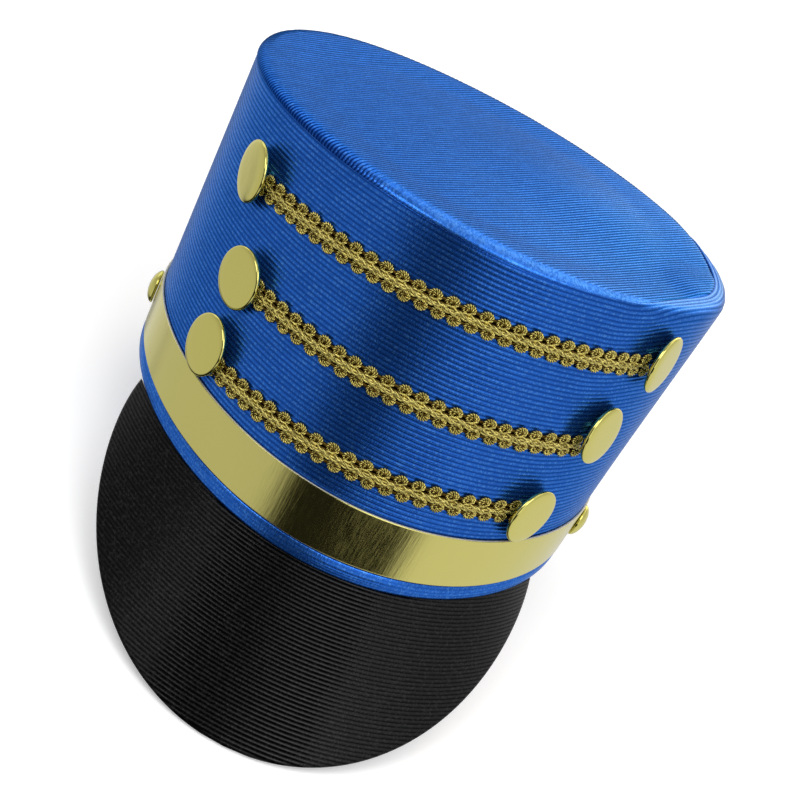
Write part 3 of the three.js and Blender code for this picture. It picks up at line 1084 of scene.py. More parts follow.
@dataclass
class Peak:
    """The arched board under the front of the hem, covered in black ribbed satin with straight ribs."""

    form: HatForm
    ribs: Ribs = field(default_factory=lambda: Ribs(depth=0.22))
    rib_straightness: float = 0.13
    length: float = 69
    half_width: float = 80
    slope: float = math.radians(44)
    thickness: float = 1.8
    spread: float = 0.16
    roundness: float = 2.1
    least_length: float = 3
    samples: int = 2001
    columns: int = 46
    edge_bunching: float = 2.0
    edge_fade: float = 1.5
    least_distance: float = 1e-4
    side_flat: float = 0.55
    side_flattened: Pair = (0.3, 0.75)
    # Painted sheen: how far the ribs' value is drawn to an even level towards the sides, and to which level
    # on each side
    left_calm: float = 0.92
    left_calmed: Pair = (10, 36)
    middle_calm: float = 0.52
    right_calm: float = 0.85
    right_calmed: Pair = (6, 30)
    left_sheen_rise: float = 0.78
    right_sheen_rise: float = 0.85
    right_sheen_reach: Pair = (5, 45)
    mirror_merge: float = 1e-3
    seam_merge: float = 1e-4

    def root(self, across: np.ndarray) -> np.ndarray:
        """The places where the board leaves the rim, at shares of its half width."""
        turn = np.arcsin(across * self.half_width / self.form.base_half_width)
        return self.form.wall_place(turn, np.zeros_like(turn))

    def place(self, across: np.ndarray, reach: np.ndarray) -> np.ndarray:
        """The places on the board's upper face.

        Args:
            across: Shares of the half width.
            reach: Distances from the rim.

        Returns:
            The places on the level hat, one row each.
        """
        ruling = np.stack([across * self.spread, np.full_like(across, -math.cos(self.slope)),
                           np.full_like(across, -math.sin(self.slope))], axis=-1)
        return self.root(across) + ruling * reach[:, None] - np.array([0, 0, self.form.gap])

    def normal(self, across: np.ndarray, reach: np.ndarray) -> np.ndarray:
        """The upper face's outward normals.

        Args:
            across: Shares of the half width.
            reach: Distances from the rim.

        Returns:
            Unit normals, one row each.
        """
        right, left = np.minimum(across + SMALL_TURN, 1), np.maximum(across - SMALL_TURN, -1)
        sideways = self.place(right, reach) - self.place(left, reach)
        backwards = self.place(across, np.zeros_like(reach)) - self.place(across, np.ones_like(reach))
        outward = np.cross(sideways, backwards)
        return outward / np.linalg.norm(outward, axis=-1, keepdims=True)

    def full_reach(self, across: np.ndarray) -> np.ndarray:
        """How far the board reaches at shares of its half width."""
        fullness = np.sqrt(np.clip(1 - np.abs(across) ** self.roundness, 0, 1))
        return self.least_length + (self.length - self.least_length) * fullness

    def root_line(self, across: np.ndarray) -> np.ndarray:
        """Where the ribs start at the rim, at shares of the half width.

        Args:
            across: Shares of the half width.

        Returns:
            Distances from the rib that starts at the rim's front. They are 0 for ribs that follow the rim,
            and how far forward along the slope the rim lies for quite straight ribs.
        """
        forward = np.array([0, -math.cos(self.slope), -math.sin(self.slope)])
        return (self.root(across) - self.root(np.zeros_like(across))) @ forward * self.rib_straightness

    def rounding(self, to_edge: np.ndarray) -> np.ndarray:
        """How far the board's round edge falls away from its faces, at distances from the edge."""
        half = self.thickness / 2
        return half - np.sqrt(np.clip(half ** 2 - (half - np.clip(to_edge, 0, half)) ** 2, 0, None))

    def cut_half(self, rows: int) -> bpy.types.Mesh:
        """Cuts one half of the board flat.

        Args:
            rows: The number of rows along the ribs.

        Returns:
            A double grid from -1 to 1 both ways. Its Z is 1 on the upper face and 0 on the lower.
        """
        shape = bmesh.new()
        bmesh.ops.create_grid(shape, x_segments=self.columns, y_segments=rows, size=1)
        grown = bmesh.ops.extrude_face_region(shape, geom=shape.faces[:])["geom"]
        for vertex in (part for part in grown if isinstance(part, bmesh.types.BMVert)):
            vertex.co.z = 1
        return Workbench.mesh_of("peak", shape)

    def build(self) -> bpy.types.Object:
        """Cuts one half of the board in rows along the ribs, bends it to its arch, mirrors and dresses it.

        Returns:
            The dressed piece.
        """
        shares = np.linspace(0, 1, self.samples)
        root_line, edge_line = self.root_line(shares), self.root_line(shares) + self.full_reach(shares)
        low, high = root_line[-1] + self.least_length / 2, self.length
        # A row at the front of the rim keeps the board's root free of a notch
        levels = np.sort(np.append(self.ribs.rows(low, high), 0))
        inner = np.where(levels >= 0, 0, np.interp(-levels, -root_line, shares))
        outer = np.interp(-levels, -edge_line, shares)
        mesh = self.cut_half(len(levels) - 1)
        x, y, side = Workbench.places(mesh).T
        row = np.round((y + 1) / 2 * (len(levels) - 1)).astype(int)
        level, upper = levels[row], side > 0.5
        step = 1 - (1 - (x + 1) / 2) ** self.edge_bunching
        across = inner[row] + (outer[row] - inner[row]) * step
        reach = np.maximum(level - np.interp(across, shares, root_line), 0)
        to_side = np.maximum((outer[row] - across) * self.half_width, self.least_distance)
        to_front = np.maximum(np.interp(across, shares, edge_line) - level, self.least_distance)
        to_edge = to_side * to_front / np.hypot(to_side, to_front)
        rounded = self.rounding(to_edge)
        rise = self.ribs.rise(level, low, high)
        flat = self.side_flat * smooth_step(*self.side_flattened, across)
        relief = rise * self.ribs.depth * smooth_step(0, self.edge_fade, to_edge) * (1 - flat)
        depth = np.where(upper, relief - rounded, rounded - self.thickness)
        Workbench.put(mesh, self.place(across, reach) + self.normal(across, reach) * depth[:, None])
        Workbench.mark(mesh, "rib_rise_and_painted_light", np.where(upper, rise, PLAIN_RISE))
        Workbench.lay_out(mesh, across * self.half_width * METRES, level * METRES)
        self.mirror(mesh)
        places = Workbench.places(mesh)
        self.smooth_sides(mesh, places[:, 0])
        Workbench.put(mesh, self.form.rest(places))
        return Workbench.dress("peak_satin", "peak", Slot.BLACK_SATIN, mesh, [BLACK_SATIN])

    def smooth_sides(self, mesh: bpy.types.Mesh, x: np.ndarray) -> None:
        """Draws the ribs' painted sheen smooth towards both sides, a little shinier and lighter on the right.

        Args:
            mesh: The whole board's mesh, with its ribs marked.
            x: Its vertices' places across the hat.
        """
        values = mesh.attributes["rib_rise_and_painted_light"].data
        rise = np.empty(len(values))
        values.foreach_get("value", rise)
        # Painted sheen: the sides' ribs are drawn to an even value, higher and so shinier and lighter on the
        # right
        calm = np.maximum(self.right_calm * smooth_step(*self.right_calmed, x),
                          self.left_calm * smooth_step(*self.left_calmed, -x))
        calm = np.maximum(calm, self.middle_calm)
        smooth = self.left_sheen_rise + (self.right_sheen_rise - self.left_sheen_rise) * smooth_step(*self.right_sheen_reach, x)
        values.foreach_set("value", (rise + (smooth - rise) * calm).astype(np.float32))

    def mirror(self, mesh: bpy.types.Mesh) -> None:
        """Joins the half board to its mirror image at the middle.

        Args:
            mesh: The half board's mesh, which becomes the whole board's.
        """
        shape = bmesh.new()
        shape.from_mesh(mesh)
        middle = [face for face in shape.faces if all(abs(vertex.co.x) < MERGE for vertex in face.verts)]
        bmesh.ops.delete(shape, geom=middle, context="FACES")
        whole = shape.verts[:] + shape.edges[:] + shape.faces[:]
        bmesh.ops.mirror(shape, geom=whole, matrix=Matrix.Identity(4), merge_dist=self.mirror_merge, axis="X")
        bmesh.ops.remove_doubles(shape, verts=shape.verts[:], dist=self.seam_merge)
        bmesh.ops.recalc_face_normals(shape, faces=shape.faces[:])
        shape.to_mesh(mesh)
        shape.free()


@dataclass(frozen=True)
class Fastening:
    """Where one end of a braid is sewn under its button: angles in degrees, levels on the crown."""

    turn: float
    level: float
    braid_level: float
    tip: float
    nod: float


@dataclass(frozen=True)
class TrimRow:
    """One braid and its two buttons, with how far the braid's middle bows upwards."""

    name: str
    left: Fastening
    right: Fastening
    bow: float


TRIM = (
    TrimRow("upper", Fastening(-51.4, 90.2, 88.8, 8.9, 6), Fastening(51.3, 96.5, 94.6, 10.9, -2.6), 0.2),
    TrimRow("middle", Fastening(-42.4, 61, 60.7, 2, 6.5), Fastening(46.2, 67.9, 62.2, 8.5, -4), -0.2),
    TrimRow("lower", Fastening(-43.3, 35.4, 31.7, 4.1, 2), Fastening(40.6, 35.7, 35.6, 7.3, 3.8), 0.8),
)
SIDE_BUTTON_TURNS = {Side.LEFT: -90.0, Side.RIGHT: 82.0}


@dataclass(frozen=True)
class Strand:
    """A swept cord: its vertices, faces, UV map, and each vertex's height in the cord from -1 to 1."""

    vertices: np.ndarray
    faces: list[list[int]]
    uv: np.ndarray
    height: np.ndarray


@dataclass
class GimpBraid:
    """A strip of gold gimp: scrolls of two-ply cord along both edges, their smooth stems plaited between."""

    form: HatForm
    row: TrimRow
    pitch: float = 6.3
    ring_length: float = 2.05
    ring_width: float = 1.45
    ring_centre: float = 2.35
    ring_turns: float = 1.95
    ring_lift: float = 0.9
    ring_points: int = 96
    curl_radius: float = 0.62
    curl_shares: Pair = (0.48, 0.8)
    curl_drop: float = 0.15
    ply_radius: float = 0.34
    ply_offset: float = 0.31
    ply_twist: float = 1.75
    stem_radius: float = 0.36
    stem_offset: float = 0.24
    stem_twist: float = 5.0
    stem_reach: float = 8.2
    stem_past: float = 0.9
    stem_start: float = -0.75
    stem_overlap: float = 0.2
    stem_bend: float = 1.3
    stem_lift: float = 0.05
    stem_arch: float = 0.95
    stem_lean: float = 0.8
    stem_points: int = 24
    # The core cords lie under the scrolls; their height value paints them all in the cord's shade, as painted
    # shadow
    core_radius: float = 0.75
    core_offsets: tuple[float, ...] = (-2.2, -0.7, 0.7, 2.2)
    core_lift: float = 0.4
    core_shade_height: float = -1.0
    filler_radius: float = 0.62
    filler_lift: float = 1.15
    filler_height: float = 0.5
    shank_clear: float = 3.6
    overrun: float = 0.03
    wrap_length: float = 0.32
    sides: int = 6
    length_steps: int = 61
    jitter: float = 0.12
    jitter_shares: tuple[float, float, float] = (1, 0.6, 0.4)

    def ends(self) -> tuple[float, float]:
        """The turns between which the braid shows."""
        clear = self.shank_clear / self.form.base_half_width
        return math.radians(self.row.left.turn) + clear, math.radians(self.row.right.turn) - clear

    def length(self) -> float:
        """Measures the braid along the wall.

        Returns:
            Its length.
        """
        turns = np.linspace(*self.ends(), self.length_steps)
        level = (self.row.left.level + self.row.right.level) / 2
        steps = np.diff(self.form.wall_place(turns, np.full_like(turns, level)), axis=0)
        return float(np.linalg.norm(steps, axis=1).sum())

    def ring_path(self) -> np.ndarray:
        """One scroll's cord, round the ring and inwards to its curl.

        Returns:
            Its points, with their distances along the braid, across it and out of the wall.
        """
        swing = np.linspace(-0.5 * math.pi, (2 * self.ring_turns - 0.5) * math.pi, self.ring_points)
        done = (swing - swing[0]) / (swing[-1] - swing[0])
        inwards = smooth_step(*self.curl_shares, done)
        length = self.ring_length + (self.curl_radius - self.ring_length) * inwards
        width = self.ring_width + (self.curl_radius - self.ring_width) * inwards
        lift = self.ring_lift - self.curl_drop * inwards
        return np.stack([length * np.cos(swing), self.ring_centre + width * np.sin(swing), lift], axis=-1)

    def stem_path(self) -> np.ndarray:
        """One scroll's stem, from across the middle line, over the plait and out to the ring's foot.

        Returns:
            Its points, as those of a ring.
        """
        share = np.linspace(0, 1, self.stem_points)
        end = self.ring_centre - self.ring_width + self.stem_overlap
        across = self.stem_start + (end - self.stem_start) * smooth_step(0, 1, share ** self.stem_bend)
        arch = self.stem_arch * np.sin(math.pi * share ** self.stem_lean)
        along = (share - 1) * self.stem_reach + self.stem_past * share
        return np.stack([along, across, self.ring_lift + self.stem_lift + arch], axis=-1)

    @staticmethod
    def straight_path(along: np.ndarray, across: float, lift: float) -> np.ndarray:
        """A path that runs straight along the braid, as those of a ring."""
        return np.stack([along, np.full_like(along, across), np.full_like(along, lift)], axis=-1)

    def tube(self, path: np.ndarray, radius: float, offset: float = 0, phase: float = 0,
             twist: float = 1) -> Strand:
        """Sweeps a round section along a path, or along a helix round it.

        Args:
            path: The path's points, one row each.
            radius: The section's radius.
            offset: How far the helix runs from the path.
            phase: The helix's starting angle.
            twist: The length in which the helix goes round once.

        Returns:
            The strand, with both its ends closed.
        """
        ahead = np.gradient(path, axis=0)
        ahead /= np.linalg.norm(ahead, axis=1, keepdims=True)
        sideways = np.cross(np.array([0.0, 0.0, 1.0]), ahead)
        sideways /= np.linalg.norm(sideways, axis=1, keepdims=True)
        upwards = np.cross(ahead, sideways)
        run = np.concatenate([[0], np.cumsum(np.linalg.norm(np.diff(path, axis=0), axis=1))])
        wind = 2 * math.pi * run / twist + phase
        line = path + offset * (np.cos(wind)[:, None] * sideways + np.sin(wind)[:, None] * upwards)
        angles = 2 * math.pi * np.arange(self.sides) / self.sides
        ring = (np.cos(angles)[None, :, None] * sideways[:, None]
                + np.sin(angles)[None, :, None] * upwards[:, None])
        vertices = (line[:, None] + radius * ring).reshape(-1, 3)
        spot = np.arange(len(path) - 1)[:, None] * self.sides
        here, there = np.arange(self.sides), (np.arange(self.sides) + 1) % self.sides
        corners = (spot + here, spot + there, spot + there + self.sides, spot + here + self.sides)
        quads = np.stack(corners, axis=-1).reshape(-1, 4).tolist()
        caps = [here[::-1].tolist(), (here + self.sides * (len(path) - 1)).tolist()]
        uv = np.stack([np.repeat(run, self.sides), np.tile(angles, len(path))], axis=-1)
        height = (offset * np.sin(wind)[:, None] + radius * np.sin(angles)[None, :]) / (offset + radius)
        return Strand(vertices, quads + caps, uv, height.ravel())

    def scrolls(self, length: float, count: int) -> list[Strand]:
        """Winds the scrolls along both edges, each a little out of its place.

        Args:
            length: The braid's length.
            count: The number of scrolls along an edge.

        Returns:
            The plies of every scroll and stem, laid flat.
        """
        pitch = length / count
        chance = np.random.default_rng(len(self.row.name))
        ring, stem = self.ring_path(), self.stem_path()
        plies = []
        for edge, ahead in ((1, 0.5), (-1, 0.0)):
            flip = np.array([1, edge, 1])
            for scroll in range(count + (edge < 0)):
                stray = chance.normal(0, self.jitter, 3) * self.jitter_shares
                start = np.array([(scroll + ahead) * pitch, 0, 0]) + stray
                for phase in (0, math.pi):
                    plies.append(self.tube(ring * flip + start, self.ply_radius, self.ply_offset, phase,
                                           self.ply_twist))
                    plies.append(self.tube(stem * flip + start, self.stem_radius, self.stem_offset, phase,
                                           self.stem_twist))
        return plies

    def strands(self) -> list[Strand]:
        """Makes every strand of the braid, laid flat.

        Returns:
            The scrolls' plies, the core cords below them, coloured all over in the cord's shade as painted
            shadow under the scrolls, and the filler along the middle.
        """
        length = self.length()
        count = round(length / self.pitch)
        run = np.linspace(0, length, 2 * count)
        found = self.scrolls(length, count)
        for offset in self.core_offsets:
            core = self.tube(self.straight_path(run, offset, self.core_lift), self.core_radius)
            # Painted shadow: the core cords take the cord's shade colour all over
            found.append(replace(core, height=np.full_like(core.height, self.core_shade_height)))
        filler = self.tube(self.straight_path(run, 0, self.filler_lift), self.filler_radius)
        found.append(replace(filler, height=np.full_like(filler.height, self.filler_height)))
        return found

    def build(self) -> bpy.types.Object:
        """Lays the strands on the crown's wall and dresses them as one braid.

        Returns:
            The dressed piece.
        """
        strands = self.strands()
        flat = np.concatenate([strand.vertices for strand in strands])
        starts = np.cumsum([0] + [len(strand.vertices) for strand in strands[:-1]])
        faces = [[int(start) + corner for corner in face] for strand, start in zip(strands, starts)
                 for face in strand.faces]
        uv = np.concatenate([strand.uv for strand in strands])
        left, right = self.row.left, self.row.right
        first, last = self.ends()
        share = np.clip(flat[:, 0] / self.length(), -self.overrun, 1 + self.overrun)
        turn = first + (last - first) * share
        level = left.braid_level + (right.braid_level - left.braid_level) * share
        level = level + self.row.bow * np.sin(math.pi * share) + flat[:, 1]
        places = self.form.wall_place(turn, level) + self.form.normal(turn, level) * flat[:, 2:]
        node = f"braid_{self.row.name}"
        mesh = bpy.data.meshes.new(node)
        mesh.from_pydata(self.form.rest(places), [], faces)
        Workbench.lay_out(mesh, uv[:, 0] / self.wrap_length, uv[:, 1])
        Workbench.mark(mesh, "ply_height", np.concatenate([strand.height for strand in strands]))
        return Workbench.dress(f"{node}_gimp", node, Slot.BRAID, mesh, [GoldCord()])


@dataclass
class Button:
    """A gold button seated on the wall at a turn and level, tipped outwards and nodding down on its shank."""

    form: HatForm
    node: str
    turn: float
    level: float
    lift: float
    section: Sequence[tuple[float, float]]
    tip: float = 0
    nod: float = 0
    steps: int = 72

    def build(self) -> bpy.types.Object:
        """Spins the button, seats it and dresses it.

        Returns:
            The dressed piece.
        """
        turn, level = np.array([self.turn]), np.array([self.level])
        normal = self.form.normal(turn, level)
        seat = Vector((self.form.wall_place(turn, level) + normal * self.lift)[0])
        facing = Matrix.Rotation(math.copysign(self.tip, self.turn), 3, "Z") @ Vector(normal[0])
        facing = Matrix.Rotation(self.nod, 3, Vector((0, 0, 1)).cross(facing)) @ facing
        turned = Vector((0, 0, 1)).rotation_difference(facing).to_matrix().to_4x4()
        shape = spun(self.section, self.steps, closed=False)
        to_hat = Matrix.Scale(METRES, 4) @ self.form.rest_matrix() @ Matrix.Translation(seat) @ turned
        bmesh.ops.transform(shape, matrix=to_hat, verts=shape.verts[:])
        mesh = Workbench.mesh_of(self.node, shape)
        return Workbench.dress(f"{self.node}_plated", self.node, Slot.BUTTON, mesh, [PolishedGold()])


# Sections of the two kinds of button as (radius, height), from the middle of the back to that of the face
FRONT_BUTTON = (
    (0, 0), (2.8, 0), (3, 0.2), (3, 1.8), (3.3, 2), (10.2, 2), (10.7, 2.1), (11.0, 2.4), (11.1, 2.8),
    (11.1, 3.1), (11.0, 3.4), (10.75, 3.66), (10.35, 3.86), (9.8, 4.02), (9.1, 4.15), (8.2, 4.25), (7, 4.32),
    (5, 4.37), (2.5, 4.4), (0, 4.4),
)
SIDE_BUTTON = (
    (0, 0), (6, 0), (6.4, 0.15), (6.5, 0.5), (6.4, 0.85), (6.05, 1.35), (5.4, 1.95), (4.5, 2.5), (3.3, 2.97),
    (1.8, 3.3), (0.8, 3.39), (0, 3.4),
)
SHANK_RADIUS = 3.0
SIDE_BUTTON_LEVEL = 14.0


@dataclass
class Trim:
    """The three braids, their six buttons and the two buttons on the band."""

    form: HatForm

    def front_button(self, row: TrimRow, side: Side) -> Button:
        """The button at one end of a braid.

        Args:
            row: The braid's row.
            side: The end.

        Returns:
            The button, lifted so far that its tipped shank clears the wall.
        """
        end = row.left if side is Side.LEFT else row.right
        tip, nod = math.radians(end.tip), math.radians(end.nod)
        lift = self.form.gap + SHANK_RADIUS * math.sin(math.hypot(tip, nod))
        node = f"button_{row.name}_{side.value}"
        return Button(self.form, node, math.radians(end.turn), end.level, lift, FRONT_BUTTON, tip, nod)

    def side_button(self, side: Side, turn: float) -> Button:
        """The button on the band at one side."""
        lift = GoldBand.thickness + 2 * self.form.gap
        return Button(self.form, f"side_button_{side.value}", math.radians(turn), SIDE_BUTTON_LEVEL, lift,
                      SIDE_BUTTON)

    def build(self) -> list[bpy.types.Object]:
        """Builds every piece of the trim.

        Returns:
            The dressed pieces.
        """
        made = []
        for row in TRIM:
            made.append(GimpBraid(self.form, row).build())
            made.extend(self.front_button(row, side).build() for side in Side)
        made.extend(self.side_button(side, turn).build() for side, turn in SIDE_BUTTON_TURNS.items())
        return made


@dataclass(frozen=True)
class TentRay:
    """A direction looked in: how far ahead to the tent's opening, aside to its right, and how high."""

    ahead: bpy.types.NodeSocket
    aside: bpy.types.NodeSocket
    height: bpy.types.NodeSocket


@dataclass
class Studio:
    """The pale floor, the soft light and the camera.

    The light is a white tent with a dark opening on the camera's side. Its parts are told apart by how far
    ahead, aside and high a direction looks, each from -1 to 1.
    """

    form: HatForm
    floor_half: float = 6.0
    floor_tiles: int = 8
    opening_azimuth: float = math.radians(10)
    opening_half: float = 0.575
    opening_soft: float = 0.12
    opening_light: float = 0.024
    opening_lean: float = 0.32
    lean_up: Pair = (-0.05, 0.08)
    lean_down: Pair = (-0.2, -0.42)
    left_light: float = 0.575
    right_light: float = 0.74
    high_share: float = 0.78
    high_from: Pair = (-0.25, 0.3)
    strip_share: float = 0.68
    strip_left: Pair = (-0.1, 0.25)
    strip_right: Pair = (0.85, 0.5)
    strip_height: Pair = (-0.12, 0.05)
    back_light: float = 1.45
    back_ahead: Pair = (-0.5, -0.8)
    back_shade: float = 0.51
    back_shaded: Pair = (0.2, 0.42)
    back_low: float = 0.12
    back_lowered: Pair = (-0.2, -0.01)
    left_back: float = 0.64
    left_ahead: Pair = (-0.4, -0.7)
    left_aside: Pair = (0, -0.25)
    high_back: float = 1.1
    high_ahead: Pair = (-0.4, -0.65)
    high_height: Pair = (0.08, 0.3)
    roof_light: float = 0.75
    roof_height: Pair = (0.55, 0.8)
    roof_gap: Pair = (0.06, 0.34)
    roof_gap_aside: float = 0.02
    roof_front: float = 0.3
    roof_ahead: Pair = (0.1, -0.35)
    roof_right: float = 1.9
    roof_aside: Pair = (0.1, 0.55)
    warm: Colour = (1.0, 0.78, 0.5)
    warm_share: float = 2.5
    warm_ahead: Pair = (-0.35, -0.7)
    warm_left: Pair = (0.26, 0.46)
    warm_right: Pair = (0.46, 0.62)
    warm_beyond: float = 0.25
    warm_height: Pair = (-0.4, -0.2)
    roof_lamp_place: tuple[float, float, float] = (-0.3, -0.2, 1.6)
    roof_lamp_size: float = 1.4
    roof_lamp_power: float = 5.0
    softbox_size: float = 0.9
    softbox_power: float = 4.0
    softbox_distance: float = 1.6
    softbox_elevation: float = math.radians(52)
    softbox_azimuths: tuple[float, ...] = (math.radians(-48), math.radians(32))
    camera_azimuth: float = math.radians(-5.715)
    camera_elevation: float = math.radians(19.722)
    camera_roll: float = math.radians(29.306)
    camera_distance: float = 800
    camera_target: tuple[float, float, float] = (10.25, 0, 18.61)
    focal_pixels: float = 2100.53
    image_pixels: float = 800
    sensor: float = 36

    def floor(self) -> None:
        """Lays the floor, which polished metal doesn't mirror."""
        shape = bmesh.new()
        tiles = self.floor_tiles
        bmesh.ops.create_grid(shape, x_segments=tiles, y_segments=tiles, size=self.floor_half)
        mesh = Workbench.mesh_of("floor", shape)
        mesh.materials.append(PaleFloor().material())
        floor = bpy.data.objects.new("floor", mesh)
        floor.visible_glossy = False
        floor.visible_diffuse = False
        bpy.context.scene.collection.objects.link(floor)

    def tent_ray(self, nodes: NodeSketch) -> TentRay:
        """Measures the direction looked in against the tent's opening.

        Args:
            nodes: The world's tree.

        Returns:
            The direction's three parts.
        """
        looked = nodes.add("ShaderNodeTexCoord").outputs["Generated"]
        sine, cosine = math.sin(self.opening_azimuth), math.cos(self.opening_azimuth)
        dot = {"operation": "DOT_PRODUCT"}
        ahead = nodes.add("ShaderNodeVectorMath", dot, _0=looked, _1=(sine, -cosine, 0))
        aside = nodes.add("ShaderNodeVectorMath", dot, _0=looked, _1=(cosine, sine, 0))
        height = nodes.add("ShaderNodeSeparateXYZ", vector=looked)
        return TentRay(ahead.outputs["Value"], aside.outputs["Value"], height.outputs["Z"])

    def panels(self, nodes: NodeSketch, ray: TentRay) -> bpy.types.NodeSocket:
        """Lights the side panels round the opening, which is narrower higher up and low down.

        Args:
            nodes: The world's tree.
            ray: The direction looked in.

        Returns:
            The panels' light, with a brighter strip on the right.
        """
        lean = nodes.math("MAXIMUM", nodes.remap(ray.height, *self.lean_up, 0, self.opening_lean),
                          nodes.remap(ray.height, *self.lean_down, 0, self.opening_lean))
        off = nodes.math("ADD", nodes.math("ABSOLUTE", nodes.math("ADD", ray.aside, lean)), lean)
        inner, outer = self.opening_half - self.opening_soft, self.opening_half + self.opening_soft
        light = nodes.math("MULTIPLY", nodes.remap(off, inner, outer, 0, 1),
                           nodes.remap(ray.aside, -1, 1, self.left_light, self.right_light))
        light = nodes.math("MULTIPLY", light, nodes.remap(ray.height, *self.high_from, 1, self.high_share))
        strip = nodes.math("MULTIPLY", nodes.remap(ray.aside, *self.strip_left, 0, self.strip_share),
                           nodes.remap(ray.aside, *self.strip_right, 0, 1))
        strip = nodes.math("MULTIPLY", strip, nodes.remap(ray.height, *self.strip_height, 0, 1))
        return nodes.math("MULTIPLY", light, nodes.math("ADD", strip, 1.0))

    def back_wall(self, nodes: NodeSketch, ray: TentRay) -> bpy.types.NodeSocket:
        """Lights the wall behind the hat, which the top panel mirrors.

        Args:
            nodes: The world's tree.
            ray: The direction looked in.

        Returns:
            The wall's light, brightest on the right and dim low in the middle.
        """
        right = nodes.remap(ray.ahead, *self.back_ahead, self.opening_light, self.back_light)
        shade = nodes.remap(ray.aside, *self.back_shaded, self.back_shade, 1)
        right = nodes.math("MULTIPLY", right, shade)
        leftness = nodes.remap(ray.aside, *self.left_aside, 0, 1)
        low = nodes.math("MAXIMUM", nodes.remap(ray.height, *self.back_lowered, self.back_low, 1), leftness)
        left = nodes.math("MULTIPLY", nodes.remap(ray.ahead, *self.left_ahead, 0, self.left_back), leftness)
        high = nodes.math("MULTIPLY", nodes.remap(ray.ahead, *self.high_ahead, 0, self.high_back),
                          nodes.remap(ray.height, *self.high_height, 0, 1))
        wall = nodes.math("MAXIMUM", nodes.math("MULTIPLY", right, low), left)
        return nodes.math("MAXIMUM", wall, high)

    def roof(self, nodes: NodeSketch, ray: TentRay) -> bpy.types.NodeSocket:
        """Lights the tent's roof on both sides of a dark gap.

        Args:
            nodes: The world's tree.
            ray: The direction looked in.

        Returns:
            The roof's light, dimmer in front and brighter on the right.
        """
        from_gap = nodes.math("ABSOLUTE", nodes.math("ADD", ray.aside, self.roof_gap_aside))
        light = nodes.math("MULTIPLY", nodes.remap(ray.height, *self.roof_height, 0, self.roof_light),
                           nodes.remap(from_gap, *self.roof_gap, 0, 1))
        light = nodes.math("MULTIPLY", light, nodes.remap(ray.ahead, *self.roof_ahead, self.roof_front, 1))
        return nodes.math("MULTIPLY", light, nodes.remap(ray.aside, *self.roof_aside, 1, self.roof_right))

    def warmth(self, nodes: NodeSketch, ray: TentRay) -> bpy.types.NodeSocket:
        """Finds the warm light at the back right, which pales the top panel's tip.

        Args:
            nodes: The world's tree.
            ray: The direction looked in.

        Returns:
            How warm the light is there, from 0 to 1.
        """
        warmth = nodes.math("MULTIPLY", nodes.remap(ray.aside, *self.warm_left, 0, 1),
                            nodes.remap(ray.ahead, *self.warm_ahead, 0, 1))
        warmth = nodes.math("MULTIPLY", warmth, nodes.remap(ray.height, *self.warm_height, 0, 1))
        return nodes.math("MULTIPLY", warmth, nodes.remap(ray.aside, *self.warm_right, 1, self.warm_beyond))

    def light_tent(self) -> None:
        """Lights the hat from the tent."""
        world = bpy.data.worlds.new("tent")
        bpy.context.scene.world = world
        world.use_nodes = True
        nodes = NodeSketch(world.node_tree)
        ray = self.tent_ray(nodes)
        light = nodes.math("MAXIMUM", self.panels(nodes, ray), self.back_wall(nodes, ray))
        light = nodes.math("MAXIMUM", light, self.roof(nodes, ray))
        warmth = self.warmth(nodes, ray)
        light = nodes.math("MULTIPLY", light, nodes.remap(warmth, 0, 1, 1, self.warm_share))
        colour = nodes.mix(warmth, (1, 1, 1, 1), opaque(self.warm))
        background = nodes.add("ShaderNodeBackground", color=colour, strength=light)
        nodes.add("ShaderNodeOutputWorld", surface=background.outputs[0])

    @staticmethod
    def towards(azimuth: float, elevation: float) -> Vector:
        """The direction from the hat that an azimuth from its front and an elevation give."""
        level = math.cos(elevation)
        return Vector((math.sin(azimuth) * level, -math.cos(azimuth) * level, math.sin(elevation)))

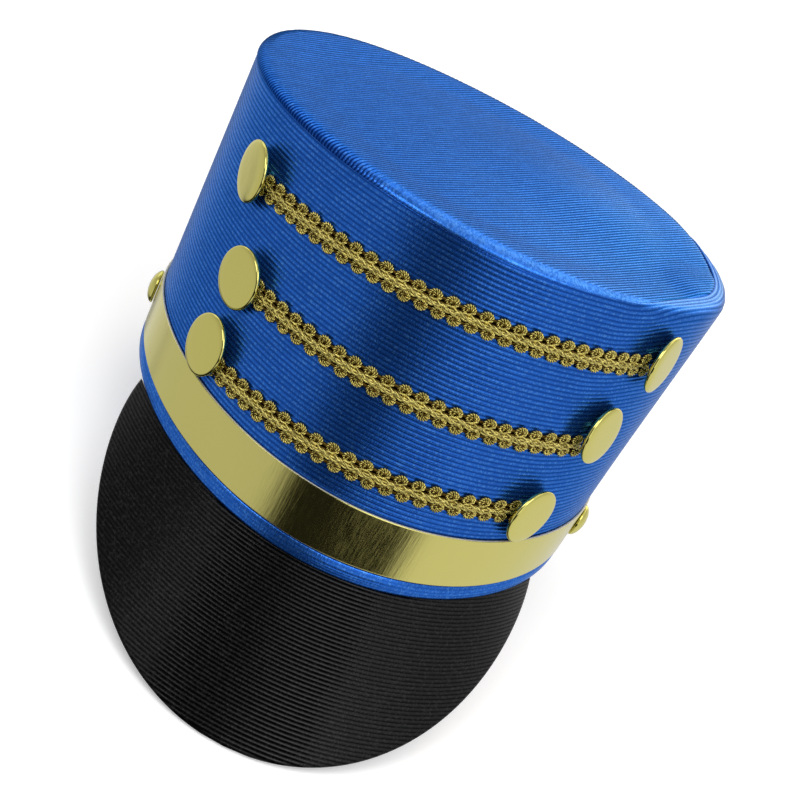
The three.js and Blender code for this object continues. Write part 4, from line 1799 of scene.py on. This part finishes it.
    @staticmethod
    def lamp(name: str, place: Vector, size: float, power: float) -> bpy.types.Object:
        """Hangs a round area lamp that shines at the hat.

        Args:
            name: The lamp's name.
            place: Where it hangs.
            size: Its diameter.
            power: Its power in watts.

        Returns:
            The lamp.
        """
        data = bpy.data.lights.new(name, "AREA")
        data.shape = "DISK"
        data.size = size
        data.energy = power
        lamp = bpy.data.objects.new(name, data)
        lamp.location = place
        lamp.rotation_euler = (-place).to_track_quat("-Z", "Y").to_euler()
        bpy.context.scene.collection.objects.link(lamp)
        return lamp

    def lamps(self) -> None:
        """Hangs a wide soft lamp over the hat and two softboxes in front of it, which glint on the gold."""
        roof = self.lamp("soft roof", Vector(self.roof_lamp_place), self.roof_lamp_size, self.roof_lamp_power)
        roof.visible_glossy = False
        for number, azimuth in enumerate(self.softbox_azimuths):
            place = self.towards(azimuth, self.softbox_elevation) * self.softbox_distance
            self.lamp(f"softbox {number}", place, self.softbox_size, self.softbox_power)

    def camera(self) -> None:
        """Sets the camera at the photograph's angle to the hat."""
        back = self.towards(self.camera_azimuth, self.camera_elevation)
        right = Vector((math.cos(self.camera_azimuth), math.sin(self.camera_azimuth), 0))
        up = back.cross(right)
        roll = Matrix.Rotation(self.camera_roll, 3, back)
        axes = Matrix((roll @ right, roll @ up, back)).transposed().to_4x4()
        place = Matrix.Translation(Vector(self.camera_target) + back * self.camera_distance)
        data = bpy.data.cameras.new("camera")
        data.sensor_width = self.sensor
        data.lens = self.focal_pixels / self.image_pixels * self.sensor
        camera = bpy.data.objects.new("camera", data)
        turned = self.form.rest_matrix() @ place @ axes
        turned.translation *= METRES
        camera.matrix_world = turned
        bpy.context.scene.collection.objects.link(camera)
        bpy.context.scene.camera = camera

    def build(self) -> None:
        """Sets the whole studio."""
        self.floor()
        self.light_tent()
        self.lamps()
        self.camera()
        bpy.context.scene.view_settings.view_transform = "Standard"


def main() -> None:
    """Builds the hat piece by piece around the frame, and the studio."""
    logging.basicConfig(level=logging.INFO, format="%(name)s %(message)s")
    form = HatForm()
    CrownSide(form).build()
    CrownTop(form).build()
    GoldBand(form).build()
    Peak(form).build()
    Trim(form).build()
    Studio(form).build()


if __name__ == "__main__":
    main()
